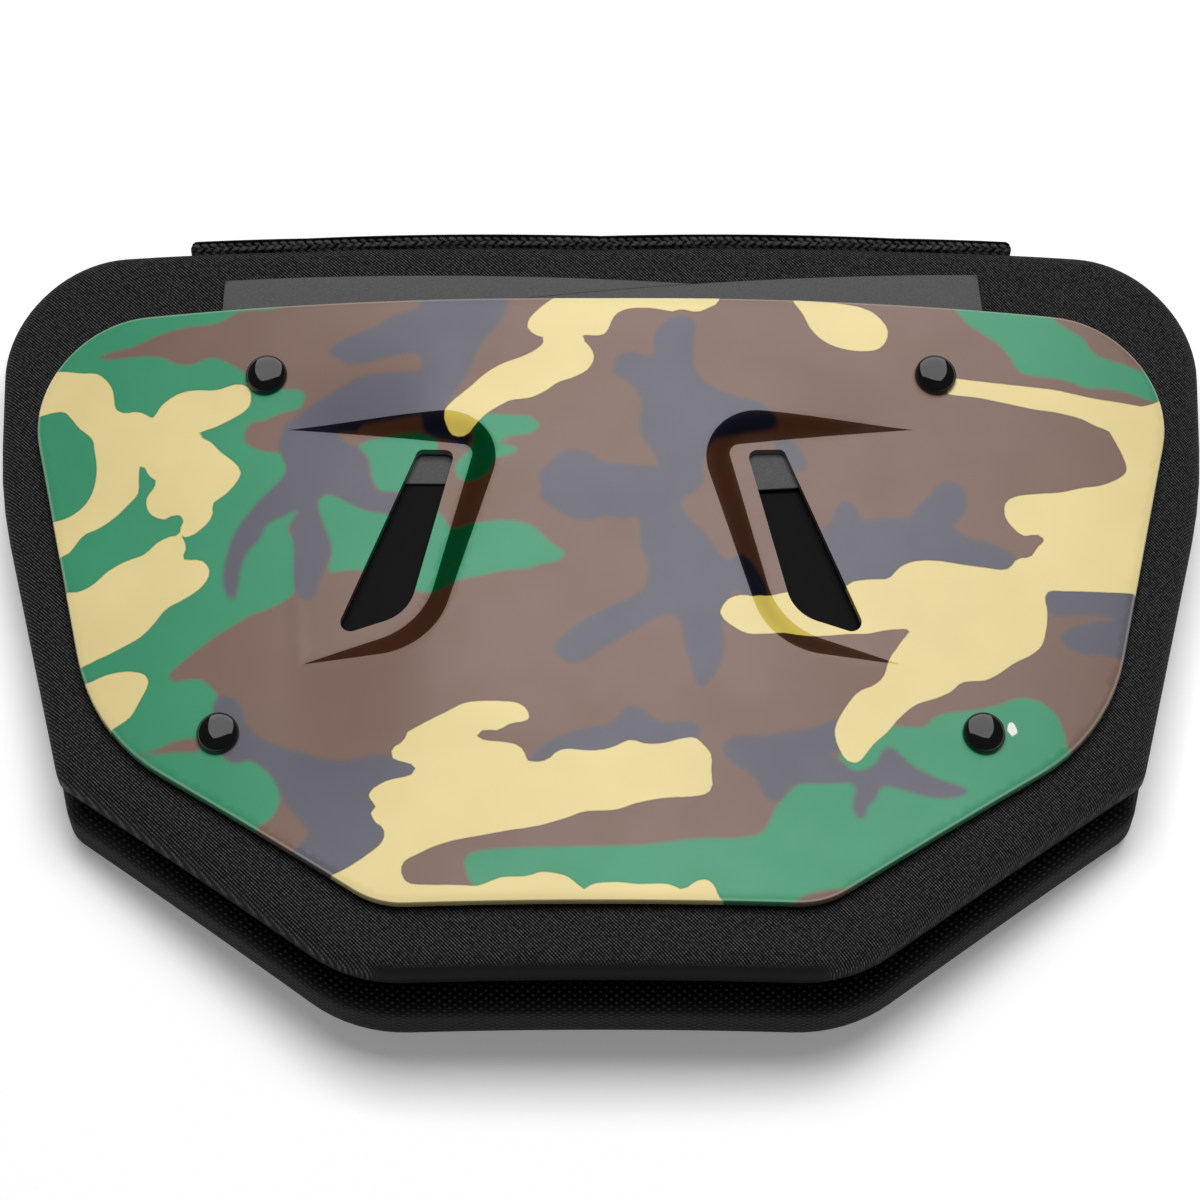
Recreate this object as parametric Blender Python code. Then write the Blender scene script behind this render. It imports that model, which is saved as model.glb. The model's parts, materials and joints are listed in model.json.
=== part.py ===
"""Football back plate lying on its back: a curved hard shell riveted over two grey liners to foam.

X runs across the shoulders, Y towards the neck and Z away from the wearer. The pieces are curved
round an axis along Y and rest on two flat strips of the rear pad. Lengths are in metres.
"""

import math
from collections import namedtuple

import bmesh
import bpy
from mathutils import Matrix, Vector

# Sizes of the whole
BEND_RADIUS = 0.580
FOOT_SPACING_SHARE = 0.846
CLEARANCE = 0.0003

# Pads
PAD_WIDTH = 0.350
PAD_HEIGHT = 0.2286
REAR_THICKNESS = 0.025
REAR_SIDE_INSET = 0.003
REAR_TOP_INSET = 0.0005
REAR_BOTTOM_REACH = 0.0072
REAR_ROUNDING = 0.007
FRONT_THICKNESS = 0.012
FRONT_ROUNDING = 0.006
FRONT_SEAM_ROUNDING = 0.0015

# Knitted band along the neck edge
BAND_LENGTH = 0.241
BAND_THICKNESS = 0.0045
BAND_WIDTH = 0.026
BAND_ON_FRONT = 0.0085
BAND_ROUNDING = 0.002

# Liners under the shell
LINER_LENGTH = 0.155
LINER_WIDTH = 0.067
LINER_THICKNESS = 0.0008
LINER_REACH = 0.1095
LEFT_LINER_EDGE_Y = 0.0995
LEFT_LINER_TILT = math.radians(-2.6)
RIGHT_LINER_EDGE_Y = 0.10085
RIGHT_LINER_TILT = math.radians(5.65)

# Shell
SHELL_WIDTH = 0.3224
SHELL_HEIGHT = 0.1854
SHELL_DROP = 0.0044
SHELL_THICKNESS = 0.003
SHELL_EDGE_ROUNDING = 0.0008
CROWN_RISE = 0.004

# Scoops beside the spine, and the slots in their floors
SCOOP_WIDTH = 0.0640
SCOOP_HEIGHT = 0.0755
SCOOP_CENTRE_X = 0.0565
SCOOP_CENTRE_Y = 0.0118
CROWN_FULL_SHARE = 0.28

# Rivets
CAP_DIAMETER = 0.012
CAP_HEIGHT = 0.0042
SHANK_DIAMETER = 0.004
SHANK_IN_PAD = 0.005

# How finely curves are divided
ARC_STEP = math.radians(13)
COLUMN_STEP = 0.016
ROW_STEP = 0.016
IMPRINT_SAMPLES = 6
ROUNDING_STEPS = 3
SMALL_ROUNDING = 0.002
CAP_SIDES = 20
CAP_RINGS = 4
CUT_SIDES = 14
SHARP_ANGLE = math.radians(35)

# A corner's place as shares of the outline's half width and half height, its radius of half width
Corner = namedtuple("Corner", "name across up radius")

PAD_CORNERS = (
    Corner("neck middle", 0.0, 0.9115, 7.78),
    Corner("shoulder", 1.006, 1.0088, 0.257),
    Corner("side", 0.994, 0.350, 0.857),
    Corner("waist", 0.869, -0.440, 0.046),
    Corner("lower", 0.386, -1.0, 0.240),
)
REAR_CORNERS = (
    Corner("neck middle", 0.0, 0.914, 7.78),
    Corner("shoulder", 1.006, 1.0085, 0.257),
    Corner("side", 0.994, 0.336, 0.857),
    Corner("waist", 0.872, -0.458, 0.060),
    Corner("lower", 0.395, -1.0, 0.262),
)
SHELL_CORNERS = (
    Corner("neck middle", 0.0, 0.974, 6.0),
    Corner("shoulder", 1.056, 1.0, 0.192),
    Corner("waist", 0.878, -0.405, 0.385),
    Corner("lower", 0.375, -1.0, 0.155),
)
# The same for a scoop, whose inner side faces the spine at across = -1
SCOOP_RIM = (
    Corner("upper tip", 1.0, 0.932, 0.0),
    Corner("upper bend", -1.016, 1.0, 0.469),
    Corner("lower bend", -0.310, -0.955, 0.640),
    Corner("lower tip", 0.797, -0.997, 0.0),
)
SCOOP_FLOOR = (
    Corner("upper tip", 1.0, 0.930, 0.0),
    Corner("upper bend", -0.656, 0.728, 0.094),
    Corner("lower bend", -0.219, -0.726, 0.687),
    Corner("lower tip", 0.797, -0.990, 0.0),
)
SCOOP_SLOT = (
    Corner("upper outer", -0.156, 0.710, 0.062),
    Corner("upper inner", -0.484, 0.694, 0.078),
    Corner("lower inner", -0.094, -0.630, 0.375),
    Corner("lower outer", 0.562, -0.795, 0.094),
)


# A right-hand rivet's place as shares of the shell's half width and half height
RivetPlace = namedtuple("RivetPlace", "word across up through_liner")

RIVETS = (
    RivetPlace("upper", 0.592, 0.743, True),
    RivetPlace("lower", 0.654, -0.440, False),
)


def corner_points(corner, before, after):
    """One corner as the points of its arc, or as itself where it is sharp."""
    if corner.radius <= 0:
        return [corner.place]
    to_before = (before - corner.place).normalized()
    to_after = (after - corner.place).normalized()
    half = to_before.angle(to_after) / 2
    shortest = min((before - corner.place).length, (after - corner.place).length)
    radius = min(corner.radius, 0.49 * shortest * math.tan(half))
    centre = corner.place + (to_before + to_after).normalized() * radius / math.sin(half)
    spoke = corner.place + to_before * radius / math.tan(half) - centre
    turn = math.pi - 2 * half
    turn = turn if to_before.cross(to_after) < 0 else -turn
    steps = max(2, math.ceil(abs(turn) / ARC_STEP))
    return [centre + Matrix.Rotation(turn * i / steps, 2) @ spoke for i in range(steps + 1)]


Placed = namedtuple("Placed", "place radius")


def rounded(rows, width, height, centre=(0.0, 0.0)):
    """A table of corners as one outline's points, in the order of the table."""
    half_width, half_height = width / 2, height / 2
    placed = [
        Placed(
            Vector((centre[0] + row.across * half_width, centre[1] + row.up * half_height)),
            row.radius * half_width,
        )
        for row in rows
    ]
    points = []
    for i, corner in enumerate(placed):
        before = placed[i - 1].place
        after = placed[(i + 1) % len(placed)].place
        points += corner_points(corner, before, after)
    return points


def symmetric(rows, width, height, centre_y=0.0):
    """The whole outline from the rows of its right half, mirrored about X = 0."""
    left = [row._replace(across=-row.across) for row in rows[:0:-1]]
    return rounded((*rows, *left), width, height, (0.0, centre_y))


def sag(x):
    """How far the bend lowers a point beside the spine."""
    return BEND_RADIUS - math.sqrt(BEND_RADIUS**2 - x * x)


def distance_to(point, outline, closed=True):
    """The distance from a point in plan to the nearest side of an outline."""
    nearest = math.inf
    for i in range(len(outline) if closed else len(outline) - 1):
        a = outline[i]
        side = outline[(i + 1) % len(outline)] - a
        share = (point - a).dot(side) / max(side.length_squared, 1e-18)
        nearest = min(nearest, (point - a - side * min(1.0, max(0.0, share))).length)
    return nearest


def is_inside(point, outline):
    """Whether a point in plan lies within a closed outline."""
    within = False
    for i, a in enumerate(outline):
        b = outline[i - 1]
        if (a.y > point.y) != (b.y > point.y):
            within ^= point.x < a.x + (point.y - a.y) * (b.x - a.x) / (b.y - a.y)
    return within


def smooth(share):
    """A step from 0 to 1 that starts and ends level."""
    share = min(1.0, max(0.0, share))
    return share * share * (3 - 2 * share)


# Heights above the floor at the middle of each layer, before the bend
FOOT_X = FOOT_SPACING_SHARE * PAD_WIDTH / 2
REAR_BASE = sag(FOOT_X)
REAR_TOP = REAR_BASE + REAR_THICKNESS
FRONT_BASE = REAR_TOP + CLEARANCE
FRONT_TOP = FRONT_BASE + FRONT_THICKNESS
LEFT_LINER_BASE = FRONT_TOP + CLEARANCE
RIGHT_LINER_BASE = LEFT_LINER_BASE + LINER_THICKNESS + CLEARANCE
SHELL_BASE = RIGHT_LINER_BASE + LINER_THICKNESS + CLEARANCE
SHELL_TOP = SHELL_BASE + SHELL_THICKNESS

REAR_WIDTH = PAD_WIDTH - 2 * REAR_SIDE_INSET
REAR_HEIGHT = PAD_HEIGHT - REAR_TOP_INSET + REAR_BOTTOM_REACH
REAR_CENTRE_Y = -(REAR_TOP_INSET + REAR_BOTTOM_REACH) / 2

SCOOP_CENTRE = (SCOOP_CENTRE_X, SCOOP_CENTRE_Y)
RIM = rounded(SCOOP_RIM, SCOOP_WIDTH, SCOOP_HEIGHT, SCOOP_CENTRE)
FLOOR = rounded(SCOOP_FLOOR, SCOOP_WIDTH, SCOOP_HEIGHT, SCOOP_CENTRE)
SLOT = rounded(SCOOP_SLOT, SCOOP_WIDTH, SCOOP_HEIGHT, SCOOP_CENTRE)
SCOOP_INNER = SCOOP_CENTRE_X - SCOOP_WIDTH / 2
SCOOP_OUTER = SCOOP_CENTRE_X + SCOOP_WIDTH / 2
SCOOP_LOW = SCOOP_CENTRE_Y - SCOOP_HEIGHT / 2
SCOOP_HIGH = SCOOP_CENTRE_Y + SCOOP_HEIGHT / 2
CROWN_FULL_X = SCOOP_INNER + CROWN_FULL_SHARE * SCOOP_WIDTH
SHELL_LOW = -SHELL_DROP - SHELL_HEIGHT / 2
SHELL_HIGH = -SHELL_DROP + SHELL_HEIGHT / 2


def crown(x, y):
    """How far the shell stands above its plain bend, which the scoops bring back to nothing."""
    point = Vector((abs(x), y))
    rise = CROWN_RISE * smooth((SCOOP_OUTER - point.x) / (SCOOP_OUTER - CROWN_FULL_X))
    if y > SCOOP_HIGH:
        rise *= smooth((SHELL_HIGH - y) / (SHELL_HIGH - SCOOP_HIGH))
    if y < SCOOP_LOW:
        rise *= smooth((y - SHELL_LOW) / (SCOOP_LOW - SHELL_LOW))
    if rise == 0 or not is_inside(point, RIM):
        return rise
    if is_inside(point, FLOOR):
        return 0.0
    from_rim = distance_to(point, RIM, closed=False)
    from_floor = distance_to(point, FLOOR, closed=False)
    return rise * (1 - smooth(from_rim / max(from_rim + from_floor, 1e-9)))


def material(name, colour, roughness, metallic=0.0):
    """A Principled material with one plain finish."""
    made = bpy.data.materials.new(name)
    made.use_nodes = True
    shader = made.node_tree.nodes["Principled BSDF"]
    shader.inputs["Base Color"].default_value = (*colour, 1.0)
    shader.inputs["Roughness"].default_value = roughness
    shader.inputs["Metallic"].default_value = metallic
    made.diffuse_color = (*colour, 1.0)
    return made


def mesh_object(name, bm, finish, collection):
    """A bmesh as an object of the collection, with its normals facing out."""
    bmesh.ops.recalc_face_normals(bm, faces=bm.faces[:])
    mesh = bpy.data.meshes.new(name)
    bm.to_mesh(mesh)
    bm.free()
    mesh.shade_smooth()
    mesh.set_sharp_from_angle(angle=SHARP_ANGLE)
    if finish:
        mesh.materials.append(finish)
    made = bpy.data.objects.new(name, mesh)
    collection.objects.link(made)
    return made


def spread(low, high, step):
    """Evenly spaced places strictly between two ends, no further apart than a step."""
    count = math.ceil((high - low) / step)
    return [low + (high - low) * i / count for i in range(1, count)]


def split(bm, places, axis):
    """Cuts every face along planes square to one axis."""
    for place in places:
        bm.normal_update()
        normal = Vector((axis == 0, axis == 1, 0.0))
        bmesh.ops.bisect_plane(
            bm,
            geom=[*bm.verts, *bm.edges, *bm.faces],
            dist=1e-6,
            plane_co=normal * place,
            plane_no=normal,
        )


def imprint(bm, path):
    """Cuts the faces that an open path in plan runs over along each of its sides."""
    for start, end in zip(path, path[1:]):
        side = end - start
        if side.length < 1e-5:
            continue
        samples = [start + side * (i + 0.5) / IMPRINT_SAMPLES for i in range(IMPRINT_SAMPLES)]
        crossed = set()
        for face in bm.faces:
            corners = [vert.co.xy for vert in face.verts]
            if any(is_inside(sample, corners) for sample in samples):
                crossed.add(face)
        edges = {edge for face in crossed for edge in face.edges}
        verts = {vert for face in crossed for vert in face.verts}
        bm.normal_update()
        bmesh.ops.bisect_plane(
            bm,
            geom=[*verts, *edges, *crossed],
            dist=2e-4,
            plane_co=(*start, 0.0),
            plane_no=(-side.y, side.x, 0.0),
        )


def rounding_places(radius):
    """How far in from the edge each ring of a rounded edge lies: a small one is a chamfer."""
    if radius <= SMALL_ROUNDING:
        return [radius] if radius > 0 else []
    angles = [math.pi / 2 * i / ROUNDING_STEPS for i in range(1, ROUNDING_STEPS + 1)]
    return [radius * (1 - math.cos(angle)) for angle in angles]


def rounding_drop(distance, radius):
    """How far a rounded edge falls below the face at a distance in from the edge."""
    if distance >= radius:
        return 0.0
    return radius - math.sqrt(radius**2 - (radius - distance) ** 2)


Layer = namedtuple("Layer", "outline base top under_rounding top_rounding columns rows")


def layer_object(name, layer, finish, collection, rise=None, paths=()):
    """One bent layer: an outline ringed for its rounded edges, cut up, thickened and bent."""
    bm = bmesh.new()
    face = bm.faces.new([bm.verts.new((*point, 0.0)) for point in layer.outline])
    reached = 0.0
    for place in rounding_places(max(layer.under_rounding, layer.top_rounding)):
        bm.normal_update()
        bmesh.ops.inset_region(
            bm,
            faces=[face],
            thickness=place - reached,
            use_boundary=True,
            use_even_offset=True,
        )
        reached = place
    split(bm, layer.columns, 0)
    split(bm, layer.rows, 1)
    for path in paths:
        imprint(bm, path)
    bmesh.ops.triangulate(bm, faces=bm.faces[:])
    flat = list(bm.faces)
    under = list(bm.verts)
    raised = bmesh.ops.extrude_face_region(bm, geom=flat)["geom"]
    tops = [item for item in raised if isinstance(item, bmesh.types.BMVert)]
    for vert in under:
        depth = distance_to(vert.co.xy, layer.outline)
        fall = rounding_drop(depth, layer.under_rounding)
        lift = rise(vert.co.x, vert.co.y) if rise else 0.0
        vert.co.z = max(0.0, layer.base - sag(vert.co.x)) + fall + lift
    for vert in tops:
        depth = distance_to(vert.co.xy, layer.outline)
        fall = rounding_drop(depth, layer.top_rounding)
        lift = rise(vert.co.x, vert.co.y) if rise else 0.0
        vert.co.z = layer.top - sag(vert.co.x) - fall + lift
    return mesh_object(name, bm, finish, collection)


def prism(name, outline, low, high, collection):
    """An upright cutter with the outline's plan."""
    bm = bmesh.new()
    face = bm.faces.new([bm.verts.new((*point, low)) for point in outline])
    raised = bmesh.ops.extrude_face_region(bm, geom=[face])["geom"]
    tops = [item for item in raised if isinstance(item, bmesh.types.BMVert)]
    bmesh.ops.translate(bm, verts=tops, vec=(0.0, 0.0, high - low))
    return mesh_object(name, bm, None, collection)


def cut(target, cutter):
    """Takes a cutter out of a piece, and hides the cutter from the render."""
    cutter.hide_render = True
    cutter.display_type = "WIRE"
    modifier = target.modifiers.new(f"cut by {cutter.name}", "BOOLEAN")
    modifier.operation = "DIFFERENCE"
    modifier.solver = "EXACT"
    modifier.object = cutter


def surface_frame(x, y, height):
    """A place on the bent surface of a layer, turned so that Z leaves the surface squarely."""
    lean = math.asin(x / BEND_RADIUS)
    place = Matrix.Translation((x, y, height - sag(x)))
    return place @ Matrix.Rotation(lean, 4, "Y")


def rivet(name, x, y, finish, collection):
    """A domed cap on the shell with a shank down into the front pad."""
    bm = bmesh.new()
    shank_length = CLEARANCE + SHELL_TOP - FRONT_TOP + SHANK_IN_PAD
    shank = SHANK_DIAMETER / 2
    rim = CAP_DIAMETER / 2
    edge = 0.2 * CAP_HEIGHT
    profile = [(0.0, -shank_length), (shank, -shank_length), (shank, 0.0), (rim, 0.0)]
    for i in range(CAP_RINGS):
        angle = math.pi / 2 * i / CAP_RINGS
        profile.append((rim * math.cos(angle), edge + (CAP_HEIGHT - edge) * math.sin(angle)))
    profile.append((0.0, CAP_HEIGHT))
    verts = [bm.verts.new((radius, 0.0, height)) for radius, height in profile]
    edges = [bm.edges.new(pair) for pair in zip(verts, verts[1:])]
    bmesh.ops.spin(
        bm,
        geom=[*verts, *edges],
        angle=math.tau,
        steps=CAP_SIDES,
        axis=(0.0, 0.0, 1.0),
        use_merge=True,
    )
    bmesh.ops.remove_doubles(bm, verts=bm.verts[:], dist=1e-6)
    made = mesh_object(name, bm, finish, collection)
    made.matrix_world = surface_frame(x, y, SHELL_TOP + CLEARANCE)
    return made


def rivet_cutter(name, x, y, collection):
    """The hole that a rivet's shank needs in every layer it crosses."""
    bm = bmesh.new()
    depth = 2 * CLEARANCE + SHELL_TOP - FRONT_TOP + SHANK_IN_PAD
    proud = CAP_HEIGHT
    hole = SHANK_DIAMETER / 2 + CLEARANCE
    bmesh.ops.create_cone(
        bm,
        cap_ends=True,
        segments=CUT_SIDES,
        radius1=hole,
        radius2=hole,
        depth=depth + proud,
        matrix=Matrix.Translation((0.0, 0.0, (proud - depth) / 2)),
    )
    made = mesh_object(name, bm, None, collection)
    made.matrix_world = surface_frame(x, y, SHELL_TOP + CLEARANCE)
    return made


def neck_edge(outline, x):
    """Height in plan of an outline's neck side at a place across."""
    heights = []
    for start, end in zip(outline, [*outline[1:], outline[0]]):
        if start.x != end.x and min(start.x, end.x) <= x <= max(start.x, end.x):
            share = (x - start.x) / (end.x - start.x)
            heights.append(start.y + (end.y - start.y) * share)
    return max(heights)


def band_outline(pad):
    """The strip in plan that follows the pads' neck edge."""
    half = BAND_LENGTH / 2
    places = [-half, *spread(-half, half, COLUMN_STEP), half]
    inner = [Vector((x, neck_edge(pad, x) + CLEARANCE)) for x in places]
    outer = [point + Vector((0.0, BAND_THICKNESS)) for point in inner]
    return [*inner, *reversed(outer)]


def liner_outline(outer_x, edge_y, tilt, side):
    """A rectangle hung from its outer upper corner, running in towards the spine."""
    turn = Matrix.Rotation(tilt, 2)
    corner = Vector((side * outer_x, edge_y))
    along = turn @ Vector((-side * LINER_LENGTH, 0.0))
    down = turn @ Vector((0.0, -LINER_WIDTH))
    return [corner, corner + along, corner + along + down, corner + down]


def columns_for(width, step=COLUMN_STEP):
    """Cuts across a layer, the same for every layer so that bent faces run side by side."""
    count = math.ceil(width / 2 / step)
    return [i * step for i in range(-count, count + 1)]


def shell_cuts():
    """The cuts across and along the shell, with one wherever its crown starts or ends."""
    right = [
        *spread(0.0, CROWN_FULL_X, COLUMN_STEP),
        CROWN_FULL_X,
        *spread(CROWN_FULL_X, SCOOP_OUTER, COLUMN_STEP),
        SCOOP_OUTER,
        *spread(SCOOP_OUTER, SHELL_WIDTH / 2, COLUMN_STEP),
    ]
    columns = [*(-x for x in right), 0.0, *right]
    rows = [
        *spread(SHELL_LOW, SCOOP_LOW, ROW_STEP),
        SCOOP_LOW,
        *spread(SCOOP_LOW, SCOOP_HIGH, ROW_STEP),
        SCOOP_HIGH,
        *spread(SCOOP_HIGH, SHELL_HIGH, ROW_STEP / 2),
    ]
    return columns, rows


def build_pads(finishes, pieces):
    """The two foam layers and the knitted band."""
    columns = columns_for(PAD_WIDTH)
    rows = spread(-PAD_HEIGHT / 2, PAD_HEIGHT / 2, ROW_STEP)
    rear = symmetric(REAR_CORNERS, REAR_WIDTH, REAR_HEIGHT, REAR_CENTRE_Y)
    layer_object(
        "rear_pad",
        Layer(rear, REAR_BASE, REAR_TOP, REAR_ROUNDING, REAR_ROUNDING, [*columns, -FOOT_X, FOOT_X], rows),
        finishes["mesh"],
        pieces,
    )
    front = symmetric(PAD_CORNERS, PAD_WIDTH, PAD_HEIGHT)
    front_pad = layer_object(
        "front_pad",
        Layer(front, FRONT_BASE, FRONT_TOP, FRONT_SEAM_ROUNDING, FRONT_ROUNDING, columns, rows),
        finishes["fabric"],
        pieces,
    )
    band_top = FRONT_BASE + BAND_ON_FRONT
    layer_object(
        "neck_band",
        Layer(band_outline(front), band_top - BAND_WIDTH, band_top, BAND_ROUNDING, BAND_ROUNDING, columns, []),
        finishes["knit"],
        pieces,
    )
    return front_pad


def build_liners(finishes, pieces):
    """The two thin grey sheets that overlap behind the shell, the right one on top."""
    columns = columns_for(PAD_WIDTH)
    made = []
    for name, side, edge_y, tilt, base in (
        ("liner_left", -1, LEFT_LINER_EDGE_Y, LEFT_LINER_TILT, LEFT_LINER_BASE),
        ("liner_right", 1, RIGHT_LINER_EDGE_Y, RIGHT_LINER_TILT, RIGHT_LINER_BASE),
    ):
        outline = liner_outline(LINER_REACH, edge_y, tilt, side)
        layer = Layer(outline, base, base + LINER_THICKNESS, 0.0, 0.0, columns, [])
        made.append(layer_object(name, layer, finishes["liner"], pieces))
    return made


def centre_along_y(pieces, cutters):
    """Moves everything so that the origin lies in the middle of the whole, under its lowest point."""
    reach = [
        (made.matrix_world @ vert.co).y for made in pieces.objects for vert in made.data.vertices
    ]
    middle = (min(reach) + max(reach)) / 2
    for made in (*pieces.objects, *cutters.objects):
        made.matrix_world = Matrix.Translation((0.0, -middle, 0.0)) @ made.matrix_world


def build_shell(finishes, pieces, cutters):
    """The hard shell with its two scoops, and a slot through each scoop's floor."""
    outline = symmetric(SHELL_CORNERS, SHELL_WIDTH, SHELL_HEIGHT, -SHELL_DROP)
    columns, rows = shell_cuts()
    layer = Layer(outline, SHELL_BASE, SHELL_TOP, 0.0, SHELL_EDGE_ROUNDING, columns, rows)
    paths = [
        [Vector((side * point.x, point.y)) for point in path]
        for path in (RIM, FLOOR)
        for side in (-1, 1)
    ]
    shell = layer_object("shell", layer, finishes["shell"], pieces, crown, paths)
    low = SHELL_BASE - sag(SCOOP_OUTER) - SHELL_THICKNESS
    high = SHELL_TOP + CROWN_RISE + SHELL_THICKNESS
    for side, word in ((-1, "left"), (1, "right")):
        outline = [Vector((side * point.x, point.y)) for point in SLOT]
        cut(shell, prism(f"slot_{word}_cutter", outline, low, high, cutters))
    return shell


def main():
    """Clears the scene and builds every piece."""
    for old in list(bpy.data.objects):
        bpy.data.objects.remove(old, do_unlink=True)
    pieces = bpy.data.collections.new("football_back_plate")
    cutters = bpy.data.collections.new("cutters")
    for collection in (pieces, cutters):
        bpy.context.scene.collection.children.link(collection)
    finishes = {
        "shell": material("camouflage_polycarbonate", (0.22, 0.25, 0.17), 0.15),
        "fabric": material("black_woven_polyester", (0.012, 0.012, 0.012), 0.8),
        "mesh": material("black_spacer_mesh", (0.009, 0.009, 0.011), 0.85),
        "knit": material("black_knit", (0.014, 0.014, 0.014), 0.85),
        "liner": material("grey_vinyl", (0.11, 0.11, 0.11), 0.45),
        "rivet": material("black_gloss_nylon", (0.004, 0.004, 0.005), 0.12),
    }
    front_pad = build_pads(finishes, pieces)
    liners = build_liners(finishes, pieces)
    shell = build_shell(finishes, pieces, cutters)
    for place in RIVETS:
        for side, word, liner in ((-1, "left", liners[0]), (1, "right", liners[1])):
            name = f"rivet_{place.word}_{word}"
            x = side * place.across * SHELL_WIDTH / 2
            y = place.up * SHELL_HEIGHT / 2 - SHELL_DROP
            rivet(name, x, y, finishes["rivet"], pieces)
            hole = rivet_cutter(f"{name}_cutter", x, y, cutters)
            crossed = [shell, front_pad, liner] if place.through_liner else [shell, front_pad]
            for target in crossed:
                cut(target, hole)
    centre_along_y(pieces, cutters)


main()
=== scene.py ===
"""Looks of a football back plate: glossy camouflage shell, vinyl liners, woven and mesh padding.

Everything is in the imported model's frame, in metres: X across, Y to the neck, Z out of the plate.
"""

import json
import logging
import math
from dataclasses import dataclass, field
from enum import Enum
from typing import Callable, Iterable, Sequence

import bmesh
import bpy
import numpy as np
from mathutils import Matrix, Vector
from mathutils.geometry import delaunay_2d_cdt

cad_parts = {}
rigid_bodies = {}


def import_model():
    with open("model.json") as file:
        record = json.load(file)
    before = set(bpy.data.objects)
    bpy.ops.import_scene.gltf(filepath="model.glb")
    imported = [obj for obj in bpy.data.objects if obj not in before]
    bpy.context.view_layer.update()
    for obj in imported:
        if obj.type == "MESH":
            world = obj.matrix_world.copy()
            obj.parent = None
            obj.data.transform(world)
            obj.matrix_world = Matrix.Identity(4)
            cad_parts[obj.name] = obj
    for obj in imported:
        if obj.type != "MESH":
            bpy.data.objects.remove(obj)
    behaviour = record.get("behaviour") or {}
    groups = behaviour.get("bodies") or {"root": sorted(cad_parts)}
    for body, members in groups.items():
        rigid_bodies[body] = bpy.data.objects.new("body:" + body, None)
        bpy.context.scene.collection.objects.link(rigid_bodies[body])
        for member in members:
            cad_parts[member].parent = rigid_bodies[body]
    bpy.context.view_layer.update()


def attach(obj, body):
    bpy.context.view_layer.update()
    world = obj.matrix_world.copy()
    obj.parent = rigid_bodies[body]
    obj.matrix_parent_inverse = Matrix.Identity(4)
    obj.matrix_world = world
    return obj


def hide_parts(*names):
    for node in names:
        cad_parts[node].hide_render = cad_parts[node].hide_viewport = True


LOG = logging.getLogger("back_plate")
MM = 0.001
BODY = "root"
CLOTH_FRAMES = 16
FAR = 999.0

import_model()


# ---- plan geometry


@dataclass(frozen=True)
class Corner:
    """A rounded corner: shares of half width and half height, and its radius of half width."""

    across: float
    up: float
    radius: float


@dataclass(frozen=True)
class Outline:
    """A closed plan outline with rounded corners.

    Attributes:
        corners: Corners in order; the first of a symmetric one lies on the axis.
        width: Full width in metres.
        height: Full height in metres.
        centre: Middle in metres.
        mirrored: Whether the rows after the first are repeated on the left.
    """

    corners: tuple
    width: float
    height: float
    centre: tuple = (0.0, 0.0)
    mirrored: bool = True

    def points(self, arc_step: float = math.radians(5), side: int = 1) -> np.ndarray:
        """The outline as plan points; side -1 mirrors the whole about X = 0."""
        rows = list(self.corners)
        if self.mirrored:
            rows += [Corner(-row.across, row.up, row.radius) for row in rows[:0:-1]]
        half = np.array([self.width / 2, self.height / 2])
        places = [np.array(self.centre) + half * (row.across, row.up) for row in rows]
        found = []
        for i, row in enumerate(rows):
            before, after = places[i - 1], places[(i + 1) % len(rows)]
            found += self._arc(places[i], before, after, row.radius * half[0], arc_step)
        return np.array(found) * (side, 1)

    @staticmethod
    def _arc(place, before, after, radius: float, arc_step: float) -> list:
        """One corner's arc points, or the corner itself where it is sharp."""
        if radius <= 0:
            return [place]
        one, two = before - place, after - place
        shortest = min(np.hypot(*one), np.hypot(*two))
        one, two = one / np.hypot(*one), two / np.hypot(*two)
        half = math.acos(max(-1.0, min(1.0, float(one @ two)))) / 2
        radius = min(radius, 0.49 * shortest * math.tan(half))
        middle = one + two
        centre = place + middle / np.hypot(*middle) * radius / math.sin(half)
        spoke = place + one * radius / math.tan(half) - centre
        turn = math.pi - 2 * half
        turn = turn if one[0] * two[1] - one[1] * two[0] < 0 else -turn
        steps = max(2, math.ceil(abs(turn) / arc_step))
        angles = [turn * i / steps for i in range(steps + 1)]
        return [
            centre
            + (
                spoke[0] * math.cos(a) - spoke[1] * math.sin(a),
                spoke[0] * math.sin(a) + spoke[1] * math.cos(a),
            )
            for a in angles
        ]


def distance_to(points: np.ndarray, line: np.ndarray, closed: bool = True) -> np.ndarray:
    """Distances from plan points to the nearest side of a line."""
    ends = np.roll(line, -1, axis=0) if closed else line[1:]
    nearest = np.full(len(points), np.inf)
    for start, end in zip(line, ends):
        side = end - start
        share = np.clip((points - start) @ side / max(float(side @ side), 1e-18), 0, 1)
        gap = points - start - share[:, None] * side
        nearest = np.minimum(nearest, np.hypot(gap[:, 0], gap[:, 1]))
    return nearest


def inside(points: np.ndarray, loop: np.ndarray) -> np.ndarray:
    """Whether each plan point lies within a closed loop."""
    within = np.zeros(len(points), bool)
    for start, end in zip(loop, np.roll(loop, -1, axis=0)):
        if start[1] == end[1]:
            continue
        crosses = (start[1] > points[:, 1]) != (end[1] > points[:, 1])
        at = start[0] + (points[:, 1] - start[1]) * (end[0] - start[0]) / (end[1] - start[1])
        within ^= crosses & (points[:, 0] < at)
    return within


def signed(points: np.ndarray, loop: np.ndarray) -> np.ndarray:
    """Distances to a loop, negative within it."""
    return np.where(inside(points, loop), -1, 1) * distance_to(points, loop)


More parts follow.
